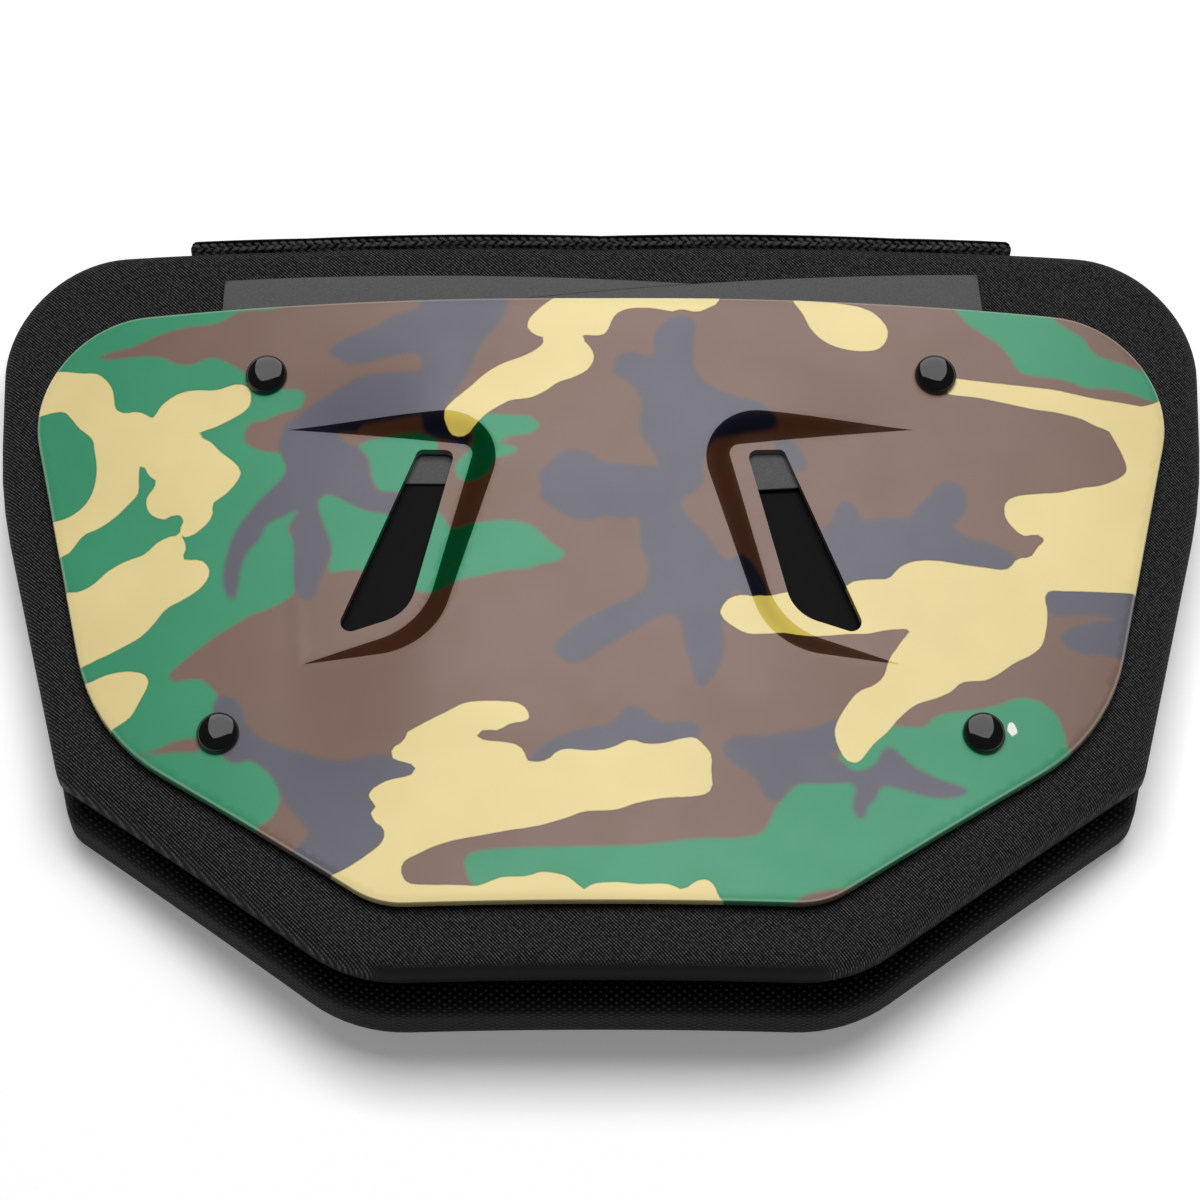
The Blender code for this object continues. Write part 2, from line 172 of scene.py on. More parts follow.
def curved(loop: Sequence, steps: int = 4) -> np.ndarray:
    """A closed loop rounded by a Catmull-Rom curve through its points."""
    points = np.array(loop, float)
    before, after, later = (np.roll(points, n, axis=0) for n in (1, -1, -2))
    shares = np.arange(steps)[:, None, None] / steps
    curve = 0.5 * (
        2 * points
        + (after - before) * shares
        + (2 * before - 5 * points + 4 * after - later) * shares**2
        + (3 * points - before - 3 * after + later) * shares**3
    )
    return curve.transpose(1, 0, 2).reshape(-1, 2)


def offset(loop: np.ndarray, inwards: float) -> np.ndarray:
    """A closed counter-clockwise or clockwise loop moved inwards by a distance."""
    along = np.roll(loop, -1, axis=0) - np.roll(loop, 1, axis=0)
    along /= np.maximum(np.hypot(along[:, 0], along[:, 1]), 1e-12)[:, None]
    area = (loop[:, 0] * np.roll(loop[:, 1], -1) - np.roll(loop[:, 0], -1) * loop[:, 1]).sum()
    normal = np.c_[-along[:, 1], along[:, 0]] * (1 if area > 0 else -1)
    return loop + normal * inwards


def resampled(line: np.ndarray, step: float, closed: bool = True) -> np.ndarray:
    """A line with extra points, so that none of its sides is longer than a step."""
    ends = np.roll(line, -1, axis=0) if closed else line[1:]
    found = []
    for start, end in zip(line, ends):
        count = max(1, math.ceil(np.hypot(*(end - start)) / step))
        found += [start + (end - start) * i / count for i in range(count)]
    if not closed:
        found.append(line[-1])
    return np.array(found)


def sag(x: np.ndarray) -> np.ndarray:
    """How far the bend round the wearer's back lowers a point beside the spine."""
    return Layers.bend - np.sqrt(Layers.bend**2 - np.asarray(x, float) ** 2)


def smooth(share: np.ndarray) -> np.ndarray:
    """A step from 0 to 1 that starts and ends level."""
    share = np.clip(share, 0, 1)
    return share * share * (3 - 2 * share)


def neck_edge(outline: np.ndarray, x: np.ndarray) -> np.ndarray:
    """Plan heights of an outline's neck side at places across."""
    upper = outline[outline[:, 1] > 0.5 * outline[:, 1].max()]
    upper = upper[np.argsort(upper[:, 0])]
    return np.interp(x, upper[:, 0], upper[:, 1])


def coordinates(mesh: bpy.types.Mesh) -> np.ndarray:
    """A mesh's vertex places as an array."""
    found = np.empty(len(mesh.vertices) * 3, np.float32)
    mesh.vertices.foreach_get("co", found)
    return found.reshape(-1, 3).astype(float)


# ---- sizes


class Layers:
    """Heights of the layers at the middle of the plate, before the bend, in metres."""

    bend = 0.580
    rear_base = 0.01921
    rear_top = 0.04421
    front_base = 0.04451
    front_top = 0.05651
    left_liner = 0.05681
    right_liner = 0.05791
    shell_base = 0.05901
    shell_top = 0.06201
    middle_y = 0.00245
    clearance = 0.0003


@dataclass(frozen=True)
class ShellSizes:
    """Sizes of the hard shell and its scoops."""

    width: float = 0.3224
    height: float = 0.1854
    drop: float = 0.0044
    rise: float = 0.004
    edge: float = 0.0009
    scoop_width: float = 0.0640
    scoop_height: float = 0.0755
    scoop_x: float = 0.0565
    scoop_y: float = 0.0118
    full_share: float = 0.28
    spacing: float = 0.0020


SHELL_OUTLINE = (
    Corner(0.0, 0.974, 6.0),
    Corner(1.056, 1.0, 0.192),
    Corner(0.878, -0.405, 0.385),
    Corner(0.375, -1.0, 0.155),
)
SCOOP_RIM = (
    Corner(1.0, 0.932, 0.0),
    Corner(-1.016, 1.0, 0.469),
    Corner(-0.310, -0.955, 0.640),
    Corner(0.797, -0.997, 0.0),
)
SCOOP_FLOOR = (
    Corner(1.0, 0.930, 0.0),
    Corner(-0.656, 0.728, 0.094),
    Corner(-0.219, -0.726, 0.687),
    Corner(0.797, -0.990, 0.0),
)
SCOOP_SLOT = (
    Corner(-0.156, 0.710, 0.062),
    Corner(-0.484, 0.694, 0.078),
    Corner(-0.094, -0.630, 0.375),
    Corner(0.562, -0.795, 0.094),
)
FRONT_OUTLINE = (
    Corner(0.0, 0.9115, 7.78),
    Corner(1.006, 1.0088, 0.257),
    Corner(0.994, 0.350, 0.857),
    Corner(0.869, -0.440, 0.046),
    Corner(0.386, -1.0, 0.240),
)
REAR_OUTLINE = (
    Corner(0.0, 0.914, 7.78),
    Corner(1.006, 1.0085, 0.257),
    Corner(0.994, 0.336, 0.857),
    Corner(0.872, -0.458, 0.060),
    Corner(0.395, -1.0, 0.262),
)


# ---- meshes


@dataclass
class Slab:
    """One bent layer: a plan outline filled with fine triangles, thickened, rounded and bent.

    Attributes:
        outline: Closed plan outline.
        base: Height of the underside at the middle.
        top: Height of the face at the middle.
        spacing: Distance between inner points.
        top_rounding: Radius of the face's edge.
        under_rounding: Radius of the underside's edge.
        holes: Closed loops left open.
        creases: Open paths that the triangles follow.
        rise: Extra height of both sides by plan place.
        wall_cuts: Rows of vertices down the side wall.
        bulge: How far the side wall swells outwards.
    """

    outline: np.ndarray
    base: float
    top: float
    spacing: float
    top_rounding: float = 0.0
    under_rounding: float = 0.0
    holes: Sequence = ()
    creases: Sequence = ()
    rise: Callable | None = None
    wall_cuts: int = 0
    bulge: float = 0.0

    def plan(self) -> tuple:
        """The plan's points, and its triangles as indices."""
        outline = resampled(self.outline, self.spacing)
        reach = max(self.top_rounding, self.under_rounding)
        steps = 5 if reach > 0.002 else 2
        depths = [reach * (1 - math.cos(math.pi / 2 * i / steps)) for i in range(1, steps + 1)]
        rings = [offset(outline, depth) for depth in depths if reach > 0]
        lines = [(outline, True)]
        lines += [(resampled(hole, self.spacing / 2), True) for hole in self.holes]
        lines += [(resampled(crease, self.spacing / 2, False), False) for crease in self.creases]
        low, high = outline.min(axis=0), outline.max(axis=0)
        x, y = np.meshgrid(
            np.arange(low[0], high[0], self.spacing),
            np.arange(low[1], high[1], self.spacing * 0.866),
        )
        x = x + (np.arange(len(x)) % 2)[:, None] * self.spacing / 2
        grid = np.c_[x.ravel(), y.ravel()]
        grid = grid[inside(grid, outline)]
        grid = grid[distance_to(grid, outline) > reach + 0.5 * self.spacing]
        for line, closed in lines[1:]:
            grid = grid[distance_to(grid, line, closed) > 0.45 * self.spacing]
        points, edges = [], []
        for line, closed in lines:
            first = len(points)
            count = len(line)
            points += [tuple(point) for point in line]
            edges += [(first + i, first + i + 1) for i in range(count - 1)]
            if closed:
                edges.append((first + count - 1, first))
        for ring in rings:
            points += [tuple(point) for point in ring]
        points += [tuple(point) for point in grid]
        found, _, faces, *_ = delaunay_2d_cdt([Vector(p) for p in points], edges, [], 0, 1e-7)
        places = np.array([tuple(point) for point in found])
        triangles = np.array(faces)
        middles = places[triangles].mean(axis=1)
        kept = inside(middles, outline)
        for hole in self.holes:
            kept &= ~inside(middles, hole)
        return places, triangles[kept]

    def fall(self, depth: np.ndarray, radius: float) -> np.ndarray:
        """How far a rounded edge falls at depths in from the outline."""
        if radius <= 0:
            return np.zeros(len(depth))
        inner = np.clip(radius - depth, 0, radius)
        return radius - np.sqrt(radius**2 - inner**2)

    def heights(self, places: np.ndarray) -> tuple:
        """Heights of the underside and of the face at plan points."""
        depth = distance_to(places, self.outline)
        lift = self.rise(places) if self.rise else 0.0
        bend = sag(places[:, 0])
        under = np.maximum(0.0, self.base - bend) + self.fall(depth, self.under_rounding) + lift
        face = self.top - bend - self.fall(depth, self.top_rounding) + lift
        return under, face

    def build(self, name: str) -> bpy.types.Object:
        """The layer as a closed, linked mesh object."""
        places, triangles = self.plan()
        bm = bmesh.new()
        verts = [bm.verts.new((x, y, 0.0)) for x, y in places]
        for a, b, c in triangles:
            bm.faces.new((verts[a], verts[b], verts[c]))
        loose = [vert for vert in bm.verts if not vert.link_faces]
        bmesh.ops.delete(bm, geom=loose, context="VERTS")
        under = list(bm.verts)
        raised = bmesh.ops.extrude_face_region(bm, geom=list(bm.faces))["geom"]
        faces = [item for item in raised if isinstance(item, bmesh.types.BMVert)]
        low, _ = self.heights(np.array([vert.co.xy[:] for vert in under]))
        _, high = self.heights(np.array([vert.co.xy[:] for vert in faces]))
        for vert, z in zip(under, low):
            vert.co.z = z
        for vert, z in zip(faces, high):
            vert.co.z = z
        if self.wall_cuts:
            self._swell_wall(bm)
        bmesh.ops.translate(bm, verts=bm.verts[:], vec=(0.0, Layers.middle_y, 0.0))
        return finished(name, bm)

    def _swell_wall(self, bm: bmesh.types.BMesh) -> None:
        """Cuts the side wall into rows and swells them outwards like foam."""
        upright = [
            edge
            for edge in bm.edges
            if (edge.verts[0].co.xy - edge.verts[1].co.xy).length < 1e-6
        ]
        cut = bmesh.ops.subdivide_edges(bm, edges=upright, cuts=self.wall_cuts, use_grid_fill=True)
        rows = [item for item in cut["geom_inner"] if isinstance(item, bmesh.types.BMVert)]
        bm.normal_update()
        middle = np.array([vert.co.xy[:] for vert in rows]).mean(axis=0)
        for vert in rows:
            out = Vector((vert.normal.x, vert.normal.y, 0.0))
            if out.length < 0.1:
                out = Vector((vert.co.x - middle[0], vert.co.y - middle[1], 0.0))
            vert.co += out.normalized() * self.bulge


def linked(name: str, data: bpy.types.ID) -> bpy.types.Object:
    """A new object in the scene."""
    made = bpy.data.objects.new(name, data)
    bpy.context.scene.collection.objects.link(made)
    return made


def finished(name: str, bm: bmesh.types.BMesh, sharp: float = 40.0) -> bpy.types.Object:
    """A bmesh as a smooth-shaded object, whose edges show above an angle in degrees."""
    bmesh.ops.recalc_face_normals(bm, faces=bm.faces[:])
    mesh = bpy.data.meshes.new(name)
    bm.to_mesh(mesh)
    bm.free()
    mesh.shade_smooth()
    mesh.set_sharp_from_angle(angle=math.radians(sharp))
    return linked(name, mesh)


def stored(obj: bpy.types.Object, name: str, values: np.ndarray, domain: str = "POINT") -> None:
    """Keeps one number for each vertex or face as an attribute that a material reads."""
    attribute = obj.data.attributes.new(name, "FLOAT", domain)
    attribute.data.foreach_set("value", np.asarray(values, np.float32))


def plan_places(obj: bpy.types.Object) -> np.ndarray:
    """Plan points of an object's vertices, counted from the pads' middle."""
    return coordinates(obj.data)[:, :2] - (0.0, Layers.middle_y)


def settled(obj: bpy.types.Object, held: np.ndarray, pressure: float, reach: float) -> None:
    """Lets a cover puff out under its own pressure, and caps how far each point moves.

    Args:
        obj: Closed, evenly meshed cover.
        held: Whether each vertex stays where it is.
        pressure: Pressure inside the cover.
        reach: Longest move in metres.
    """
    before = coordinates(obj.data)
    group = obj.vertex_groups.new(name="held")
    group.add([int(i) for i in np.flatnonzero(held)], 1.0, "REPLACE")
    cloth = obj.modifiers.new("puff", "CLOTH")
    cloth.settings.use_pressure = True
    cloth.settings.uniform_pressure_force = pressure
    cloth.settings.effector_weights.gravity = 0.0
    cloth.settings.vertex_group_mass = group.name
    cloth.point_cache.frame_end = CLOTH_FRAMES
    for number in range(1, CLOTH_FRAMES + 1):
        bpy.context.scene.frame_set(number)
    puffed = obj.evaluated_get(bpy.context.evaluated_depsgraph_get())
    moves = coordinates(puffed.to_mesh()) - before
    puffed.to_mesh_clear()
    bpy.context.scene.frame_set(1)
    obj.modifiers.remove(cloth)
    obj.vertex_groups.clear()
    length = np.linalg.norm(moves, axis=1)
    LOG.info("%s: puffs by %.2f mm at most", obj.name, length.max() / MM)
    moves *= (reach * np.tanh(length / reach) / np.maximum(length, 1e-12))[:, None]
    obj.data.vertices.foreach_set("co", (before + moves).astype(np.float32).ravel())
    obj.data.update()


def tube(name: str, path: np.ndarray, radius: float) -> bpy.types.Object:
    """A round cord along a path."""
    curve = bpy.data.curves.new(name, "CURVE")
    curve.dimensions = "3D"
    curve.bevel_depth = radius
    curve.bevel_resolution = 2
    curve.use_fill_caps = True
    spline = curve.splines.new("POLY")
    spline.points.add(len(path) - 1)
    for point, place in zip(spline.points, path):
        point.co = (*place, 1.0)
    guide = linked(name + "_guide", curve)
    ready = guide.evaluated_get(bpy.context.evaluated_depsgraph_get())
    mesh = bpy.data.meshes.new_from_object(ready)
    bpy.data.objects.remove(guide)
    mesh.name = name
    mesh.shade_smooth()
    return linked(name, mesh)


# ---- camouflage chart: drawn patches in millimetres of plan, counted from the pads' middle,
#      each rounded through its points


class Ink(Enum):
    """Printed colours of the woodland camouflage, over a brown ground, and a small white spot."""

    GREEN = "green"
    GREY = "grey"
    BROWN = "brown"
    TAN = "tan"
    WHITE_SPOT = "bare"


CHART = {
    Ink.GREEN: (
        ((-107, 95), (-172, 95), (-172, -60), (-96, -84), (-94, -74), (-90, -71), (-88, -67),
         (-88, -62), (-91, -57.5), (-96, -53.5), (-100, -54), (-104, -52), (-106, -46),
         (-107, -40), (-106, -34), (-108, -31), (-110, -29), (-113, -28), (-119, -28.3),
         (-120, -26), (-117, -23), (-112, -19), (-108, -16), (-103, -13), (-98, -10), (-92, -8),
         (-86, -4.5), (-85.5, 0), (-85.5, 6), (-86, 12), (-88, 16), (-86, 19.5), (-84, 22),
         (-88, 26), (-89, 34), (-89, 36), (-91, 40), (-95, 40.5), (-100, 43), (-101.5, 46),
         (-100, 50), (-96, 50.5), (-91, 52.5), (-86, 53.5), (-84.5, 56), (-85, 59), (-90, 60),
         (-97, 62), (-104, 68), (-110, 71.5), (-113, 72), (-117, 70.5), (-122, 71), (-125, 73),
         (-130, 74.5), (-136, 74.8), (-144.5, 75), (-144.5, 76.3), (-140, 77.5), (-134, 78.6),
         (-128, 81), (-122, 82.4), (-116, 82.8), (-111, 83), (-107, 84.8), (-103, 86.4),
         (-92, 86.7), (-90, 95)),
        ((-79, 25), (-77, 26), (-74, 25), (-70, 22.5), (-66, 20.3), (-61, 19.3), (-56, 18),
         (-58, 8), (-65, 2.3), (-70, 2.3), (-76, 2), (-75.5, 8), (-77, 13), (-79, 19),
         (-80.5, 23)),
        ((-68.5, 40), (-66, 42), (-60, 43), (-52, 43.5), (-47, 42), (-46, 39), (-47, 35),
         (-50, 30), (-53, 26), (-58, 25.5), (-62, 26), (-64, 29), (-65, 33), (-66, 37)),
        ((-36, 47), (-30, 47), (-24, 46.5), (-20, 46), (-17.5, 44), (-18, 42), (-21, 40.5),
         (-26, 40), (-28.5, 38), (-25, 37), (-23, 35.5), (-26, 34), (-29, 33.5), (-31, 30),
         (-33, 28), (-38, 28), (-41, 31), (-40, 35), (-37, 38), (-36, 42)),
        ((-46, 19), (-44, 17), (-42, 14), (-37, 13.3), (-30, 13.8), (-24, 13.7), (-19, 12),
         (-16, 9), (-13.5, 6.5), (-10.5, 4.5), (-10.5, 2.5), (-13, 1), (-17, 0.3), (-20, -1),
         (-26, -1.3), (-32, -2.5), (-38, -3.7), (-44, -5.5), (-50, -5.5), (-54, -3), (-52, 4),
         (-49, 12)),
        ((102, 90), (103, 85.5), (106, 82), (110, 79.5), (114, 77), (117, 73.5), (119, 70),
         (121, 68), (126, 67.5), (132, 67.5), (136, 66.5), (140, 65.5), (146, 66), (152, 65.5),
         (156, 64.5), (159, 64), (166, 64), (166, 73), (157, 73), (153, 74), (149, 75), (144, 76),
         (141, 79), (140, 81), (137, 83), (133, 85), (131, 87), (130, 93)),
        ((137, -52), (129.5, -48), (128.5, -44), (127, -39), (124, -35.5), (120, -33.5),
         (115, -33.8), (110, -36), (104, -38), (96, -39.5), (92, -41), (89, -44), (84, -44.5),
         (79, -45), (74, -50), (66, -53), (65, -55), (67, -58), (66, -62), (60, -62.7),
         (53, -63.5), (49, -68), (47, -71), (44, -77), (38, -79), (26, -79.5), (10, -81.5),
         (-10, -82), (-30, -82.5), (-36.5, -84.5), (-36, -90), (-33, -95), (-33, -106),
         (110, -106), (142, -62)),
    ),
    Ink.GREY: (
        ((-77.5, 71), (-75, 68.3), (-71, 66.3), (-65, 66.5), (-59, 67.8), (-53, 68.3), (-51, 66),
         (-51, 63), (-54, 62), (-60, 62.3), (-65, 62.3), (-71, 61), (-76, 58), (-81, 55),
         (-85, 52), (-88, 49), (-80, 46), (-60, 47), (-50, 48), (-44, 50), (-40, 57), (-38, 60),
         (-36, 66), (-34, 71), (-31, 75), (-28, 80), (-27, 84), (-27, 92), (-48, 92), (-52, 84),
         (-56, 82.5), (-61, 80.5), (-65, 78), (-70, 76), (-75, 74)),
        ((-88, 50), (-91, 45), (-91, 40), (-89, 36), (-89, 34), (-91, 31), (-96, 26), (-100, 21),
         (-103, 16), (-105, 10), (-106, 4), (-105.5, -1), (-104, -4.5), (-102.5, -5),
         (-101.5, -2), (-101, 4), (-99.5, 9), (-96, 13), (-94, 17.5), (-90, 19.5), (-85, 21.5),
         (-87, 17), (-86, 10), (-86, 3), (-85, -4), (-83, -6), (-80, -5.5), (-79, -2), (-77, 3),
         (-75.5, 8), (-76, 12), (-78, 17), (-79.5, 22), (-79, 25.5), (-76, 26), (-71, 23),
         (-66, 20.5), (-61, 19.3), (-57, 18.5), (-54, 22), (-56, 25), (-60, 25.8), (-63, 26.5),
         (-65, 31), (-65.5, 35), (-68, 39.5), (-71, 41), (-74, 44), (-76, 50)),
        ((-88.3, 47.8), (-76.9, 50.2), (-68.7, 51.5), (-51.5, 52.9), (-44.2, 53.5), (-43.3, 47.8),
         (-41, 44.5), (-36.7, 42.2), (-37.5, 39.4), (-39.7, 37.6), (-40.9, 40.1), (-47, 41.9),
         (-50, 44), (-51.2, 48.1), (-56.9, 48.1), (-62.6, 47.7), (-67.2, 47), (-68.5, 44.9),
         (-78.2, 45.5), (-88.3, 46.2)),
        ((3, 60), (4, 62), (4, 65), (7, 67), (10, 67), (13, 65.5), (15, 66), (15, 72), (16.5, 76),
         (19, 78.5), (22, 80), (25.5, 79.5), (27, 77), (26.5, 72), (26, 66), (27, 61), (30, 57),
         (34, 54.5), (40, 52.5), (46, 50.5), (50, 45), (40, 42.5), (33, 40), (30, 36), (28.5, 30),
         (29, 27), (27, 23.5), (22.5, 20), (24, 15), (28, 11), (31, 7), (35, 2), (40, 4),
         (45, -2), (46, -8), (40, -9), (37, -7), (35, -12), (33.5, -17), (34, -23), (33, -29),
         (30, -34), (28, -36.5), (26, -35), (25, -31), (23, -24), (22, -18), (20, -15),
         (16, -15.5), (12, -18), (7, -21), (0, -25.5), (-4, -28.5), (-8, -29.5), (-11, -28),
         (-13, -25), (-10, -21), (-5, -17), (2, -13), (8, -10), (12, -7), (13, -3), (13, 1),
         (11, 6), (11, 12), (10, 15), (7, 14), (2, 15), (-2, 14), (-6, 13.7), (-10, 15.5),
         (-14, 18), (-17, 21), (-16.5, 24), (-17.5, 28), (-15, 31), (-12, 34), (-8, 35.5),
         (-3, 34.5), (0, 32), (8, 31), (15, 30.5), (16, 32), (14, 36), (11.5, 40), (11, 44),
         (11.5, 50), (10, 54), (7, 57.5)),
        ((62, 14), (65, 17), (66, 21), (68, 23), (70, 23), (72, 21), (73, 17.5), (78, 18.5),
         (83, 19), (87, 20), (89, 23), (92, 26), (95, 30), (98, 31.5), (102, 30.5), (103, 27),
         (103, 23), (101, 20), (99, 17.5), (103, 14.5), (108, 13.5), (113, 12), (117, 9.5),
         (114, 5), (107, 5), (100, 6), (94, 6), (88, 5.5), (84, 3.5), (81, 0), (74, -1), (68, -3),
         (62, -2), (58, 2), (58, 8)),
        ((49, 41), (54, 41.5), (57, 37), (58, 34), (56, 31.5), (53, 33), (50, 37)),
        ((124.5, -3), (126, 0), (131, 1), (138, 1.8), (151, 2.2), (153, -6), (143, -6.2),
         (135, -6.5), (127, -7.5), (125, -6)),
        ((144, -7), (152, -6), (151, -19), (142, -18), (136, -18.5), (131, -17), (128.5, -14),
         (131, -11), (137, -9)),
        ((-18, -56), (-14, -52), (-8, -49.5), (-2, -48), (3, -47), (5, -44), (8, -42),
         (12, -43.5), (15, -46), (18, -47), (22, -46.3), (26, -47), (27, -49), (25, -52),
         (15, -54), (0, -56), (-10, -58), (-20, -59)),
        ((33, -55), (34, -52), (38, -50), (45, -50), (50, -48.5), (56, -47.5), (60, -46),
         (66, -44), (68, -52), (62, -54), (66, -56.5), (70, -58.5), (75, -56), (77, -52),
         (79, -50.5), (82, -52.5), (86, -56), (92, -59), (100, -61.5), (99.5, -63.5), (94, -65),
         (88, -64.5), (82, -63), (77, -62.5), (75, -66), (72.5, -69), (72, -71.5), (69.5, -72),
         (68.5, -68), (69, -62.5), (60, -62.7), (53, -63.5), (49, -68), (45, -68), (42, -62),
         (36, -58)),
        ((-107.5, -38), (-106, -34), (-104, -33.5), (-101, -35), (-99, -38), (-98, -42),
         (-95, -46), (-91, -48.5), (-86, -50.5), (-80, -53), (-74, -55), (-68, -55.3),
         (-60, -54.5), (-48, -57), (-48, -70), (-56, -84), (-68, -90), (-76, -94), (-86, -88),
         (-84, -81.5), (-81, -78.5), (-79.5, -76), (-82, -72), (-86, -67), (-88, -63),
         (-91, -57.5), (-96, -53.5), (-101, -54), (-104, -51), (-107, -45)),
    ),
    Ink.BROWN: (
        ((-128, -49.5), (-122, -48), (-118, -46.3), (-111, -46), (-111, -50), (-118, -49.5),
         (-125, -50.3)),
        ((48, -102), (54, -95.5), (60, -93.3), (67, -92.3), (74, -90), (76, -98), (60, -103)),
    ),
    Ink.TAN: (
        ((-167, 73), (-157, 73), (-150, 71.5), (-145, 70.5), (-141, 66), (-140, 62), (-139.5, 59),
         (-137, 57), (-133, 57), (-130, 55.5), (-128, 54.5), (-126, 58), (-122, 61), (-117, 62),
         (-110, 61.5), (-104, 62.8), (-100.5, 61), (-100, 56), (-103, 53), (-109, 50), (-115, 48),
         (-111, 45), (-108, 41.5), (-104, 38), (-102, 34.5), (-104, 30.5), (-107, 27.5),
         (-109.7, 25.5), (-109.7, 22), (-112, 18.5), (-116, 16), (-119, 17.5), (-118, 20.5),
         (-118.5, 22.5), (-121, 23), (-124, 22), (-128, 24.5), (-129, 29), (-127, 32),
         (-126.5, 34.5), (-128.5, 36), (-130, 39), (-131.5, 39.5), (-131.5, 36), (-131.5, 31),
         (-134, 28), (-138, 24), (-143, 21), (-147, 19.5), (-150, 15.5), (-153, 13.5), (-162, 13),
         (-163, 24), (-155, 25), (-151, 26), (-147, 29), (-144.5, 34), (-144, 40), (-145, 46),
         (-146, 50), (-150, 54), (-153, 58), (-156, 60), (-168, 60)),
        ((-153, 0), (-147, 2), (-143, 4), (-139, 7.5), (-134, 10), (-129, 11.5), (-125, 15),
         (-121, 16.5), (-118, 15.5), (-117, 12), (-118, 9), (-115, 8.5), (-112, 8), (-110, 5),
         (-110.5, 2), (-113, -1), (-117, -3.5), (-122, -6), (-125, -10), (-129, -14), (-135, -17),
         (-141, -19.5), (-146, -21.5), (-156, -23)),
        ((-152, -28), (-143, -26.3), (-138, -24.5), (-132, -24), (-127, -25.5), (-126, -28.5),
         (-128, -33), (-130, -37), (-132, -39), (-136, -41.5), (-140, -46), (-152, -44)),
        ((-11, 92), (-13.2, 86.3), (-16.2, 83.6), (-19, 80.9), (-20.8, 78), (-20.8, 75.5),
         (-18.5, 73.2), (-16.5, 72.5), (-16.5, 70.5), (-18, 68.5), (-22, 66), (-28, 63.5),
         (-33, 60), (-38, 55), (-42, 51.5), (-44, 49), (-44, 46), (-42, 42.5), (-38, 42),
         (-35, 44.5), (-32, 47.5), (-28, 50), (-25, 51.5), (-20, 52), (-16, 54), (-12, 57),
         (-8, 58.5), (-4, 61), (-2, 65), (-3, 68.5), (-5.5, 72), (-5, 73), (0, 73), (2, 75),
         (4, 80), (8, 82.2), (14, 82.4), (18, 81.8), (20.7, 81.4), (23, 82.2), (27.7, 81.4),
         (31, 83), (33.4, 84.6), (33.8, 87), (33, 92)),
        ((55, 86.2), (58, 81.5), (60, 77), (64, 73), (70, 71), (76, 71), (80, 72.5), (82, 76),
         (82, 79), (80, 82), (77, 84.2), (72, 85.6), (64, 86.2), (57, 86.4)),
        ((98, 64.3), (104, 64.2), (112, 64), (120, 63.8), (130, 63.7), (136, 63), (142, 62.3),
         (150, 62), (156, 61.6), (168, 61), (160, 2), (150, 1.8), (144, 1.5), (138, 1),
         (131, 0.5), (126, 0), (124.5, -2.5), (125, -5), (125, -8), (124.5, -12), (123, -17),
         (120, -20), (115, -23), (110, -27), (106, -29), (100, -30), (97, -33), (92, -35.5),
         (87, -37.5), (82, -42), (79, -46), (75, -50), (72, -54), (70, -56), (67, -55.5),
         (65, -52), (64, -48), (65, -44), (68, -39), (71, -35), (75, -33), (78, -30), (79, -27),
         (80, -24), (82, -21), (84, -18), (86, -16), (85, -15), (80, -15.5), (74, -17),
         (68, -17.5), (60, -18.5), (52, -19), (46, -20), (40, -20), (35, -17), (33, -14),
         (35, -10), (39, -8.5), (42, -9), (44, -8), (48, -6.5), (52, -5.5), (60, -4.5), (68, -3),
         (70, -1.5), (75, -0.5), (80, 0), (82, 2), (84, 4), (88, 6), (94, 6.5), (100, 6),
         (107, 5.5), (114, 5.5), (117, 9), (121, 10), (123, 13), (125, 15.5), (124.5, 17),
         (122, 17), (119, 16.5), (116.5, 18.5), (114.5, 21), (114, 24), (115, 27), (119, 29),
         (124, 30), (130, 31), (136, 33), (142, 34.5), (147, 37), (150, 39.5), (150.3, 42),
         (149, 46), (147, 50), (145.5, 52.5), (142, 53.5), (137, 55.5), (132, 56.3), (124, 56.8),
         (116, 57.8), (108, 58.8), (101, 59), (98, 60)),
        ((-50, -47), (-46, -45), (-41, -42.5), (-36, -40.5), (-26, -40.5), (-22, -41.5),
         (-20, -43.5), (-20, -46), (-25, -47), (-28, -48.8), (-32, -48.5), (-34, -50),
         (-32, -51.5), (-28, -52), (-23, -53), (-21, -55), (-20, -57.5), (-17, -58), (-14, -57),
         (-12, -55), (-9, -54.3), (-4, -54.8), (0, -54.7), (4, -53.5), (8, -51.8), (12, -52.8),
         (17, -52.7), (22, -51.3), (25.5, -51), (28, -53), (30, -56), (30, -60), (30, -65.5),
         (26, -67.5), (18, -68), (10, -69.5), (4, -71.5), (-4, -72), (-10, -74), (-17, -76),
         (-27, -77.5), (-36, -79), (-44, -80.8), (-49, -83), (-53, -85), (-54, -88), (-52.5, -91),
         (-49, -92), (-38, -92.4), (-33, -92.7), (-27, -90.5), (-20, -90.2), (-16, -89),
         (-10, -90), (-7, -92), (-4.5, -94), (-2, -92.5), (4, -92), (10, -92.5), (18, -92.5),
         (22, -94), (25, -92), (27.5, -91), (30, -92), (31.5, -96), (32, -104), (-66, -104),
         (-80, -91), (-73, -88.5), (-68, -86), (-62, -82), (-59, -79), (-59, -75.5), (-61, -74),
         (-62.5, -71), (-61, -69), (-63, -67), (-62.5, -64.5), (-58, -62), (-52, -61),
         (-50.5, -59), (-52, -57.5), (-56.5, -56), (-57, -53), (-54, -51), (-53, -48.5)),
    ),
    # A small white spot beside the lower right rivet.
    Ink.WHITE_SPOT: (
        ((112.3, -41.2), (113.6, -40.8), (114.6, -42), (115, -43.8), (114.4, -45.2),
         (113.2, -44.9), (112.2, -43.4)),
    ),
}


# ---- finishes


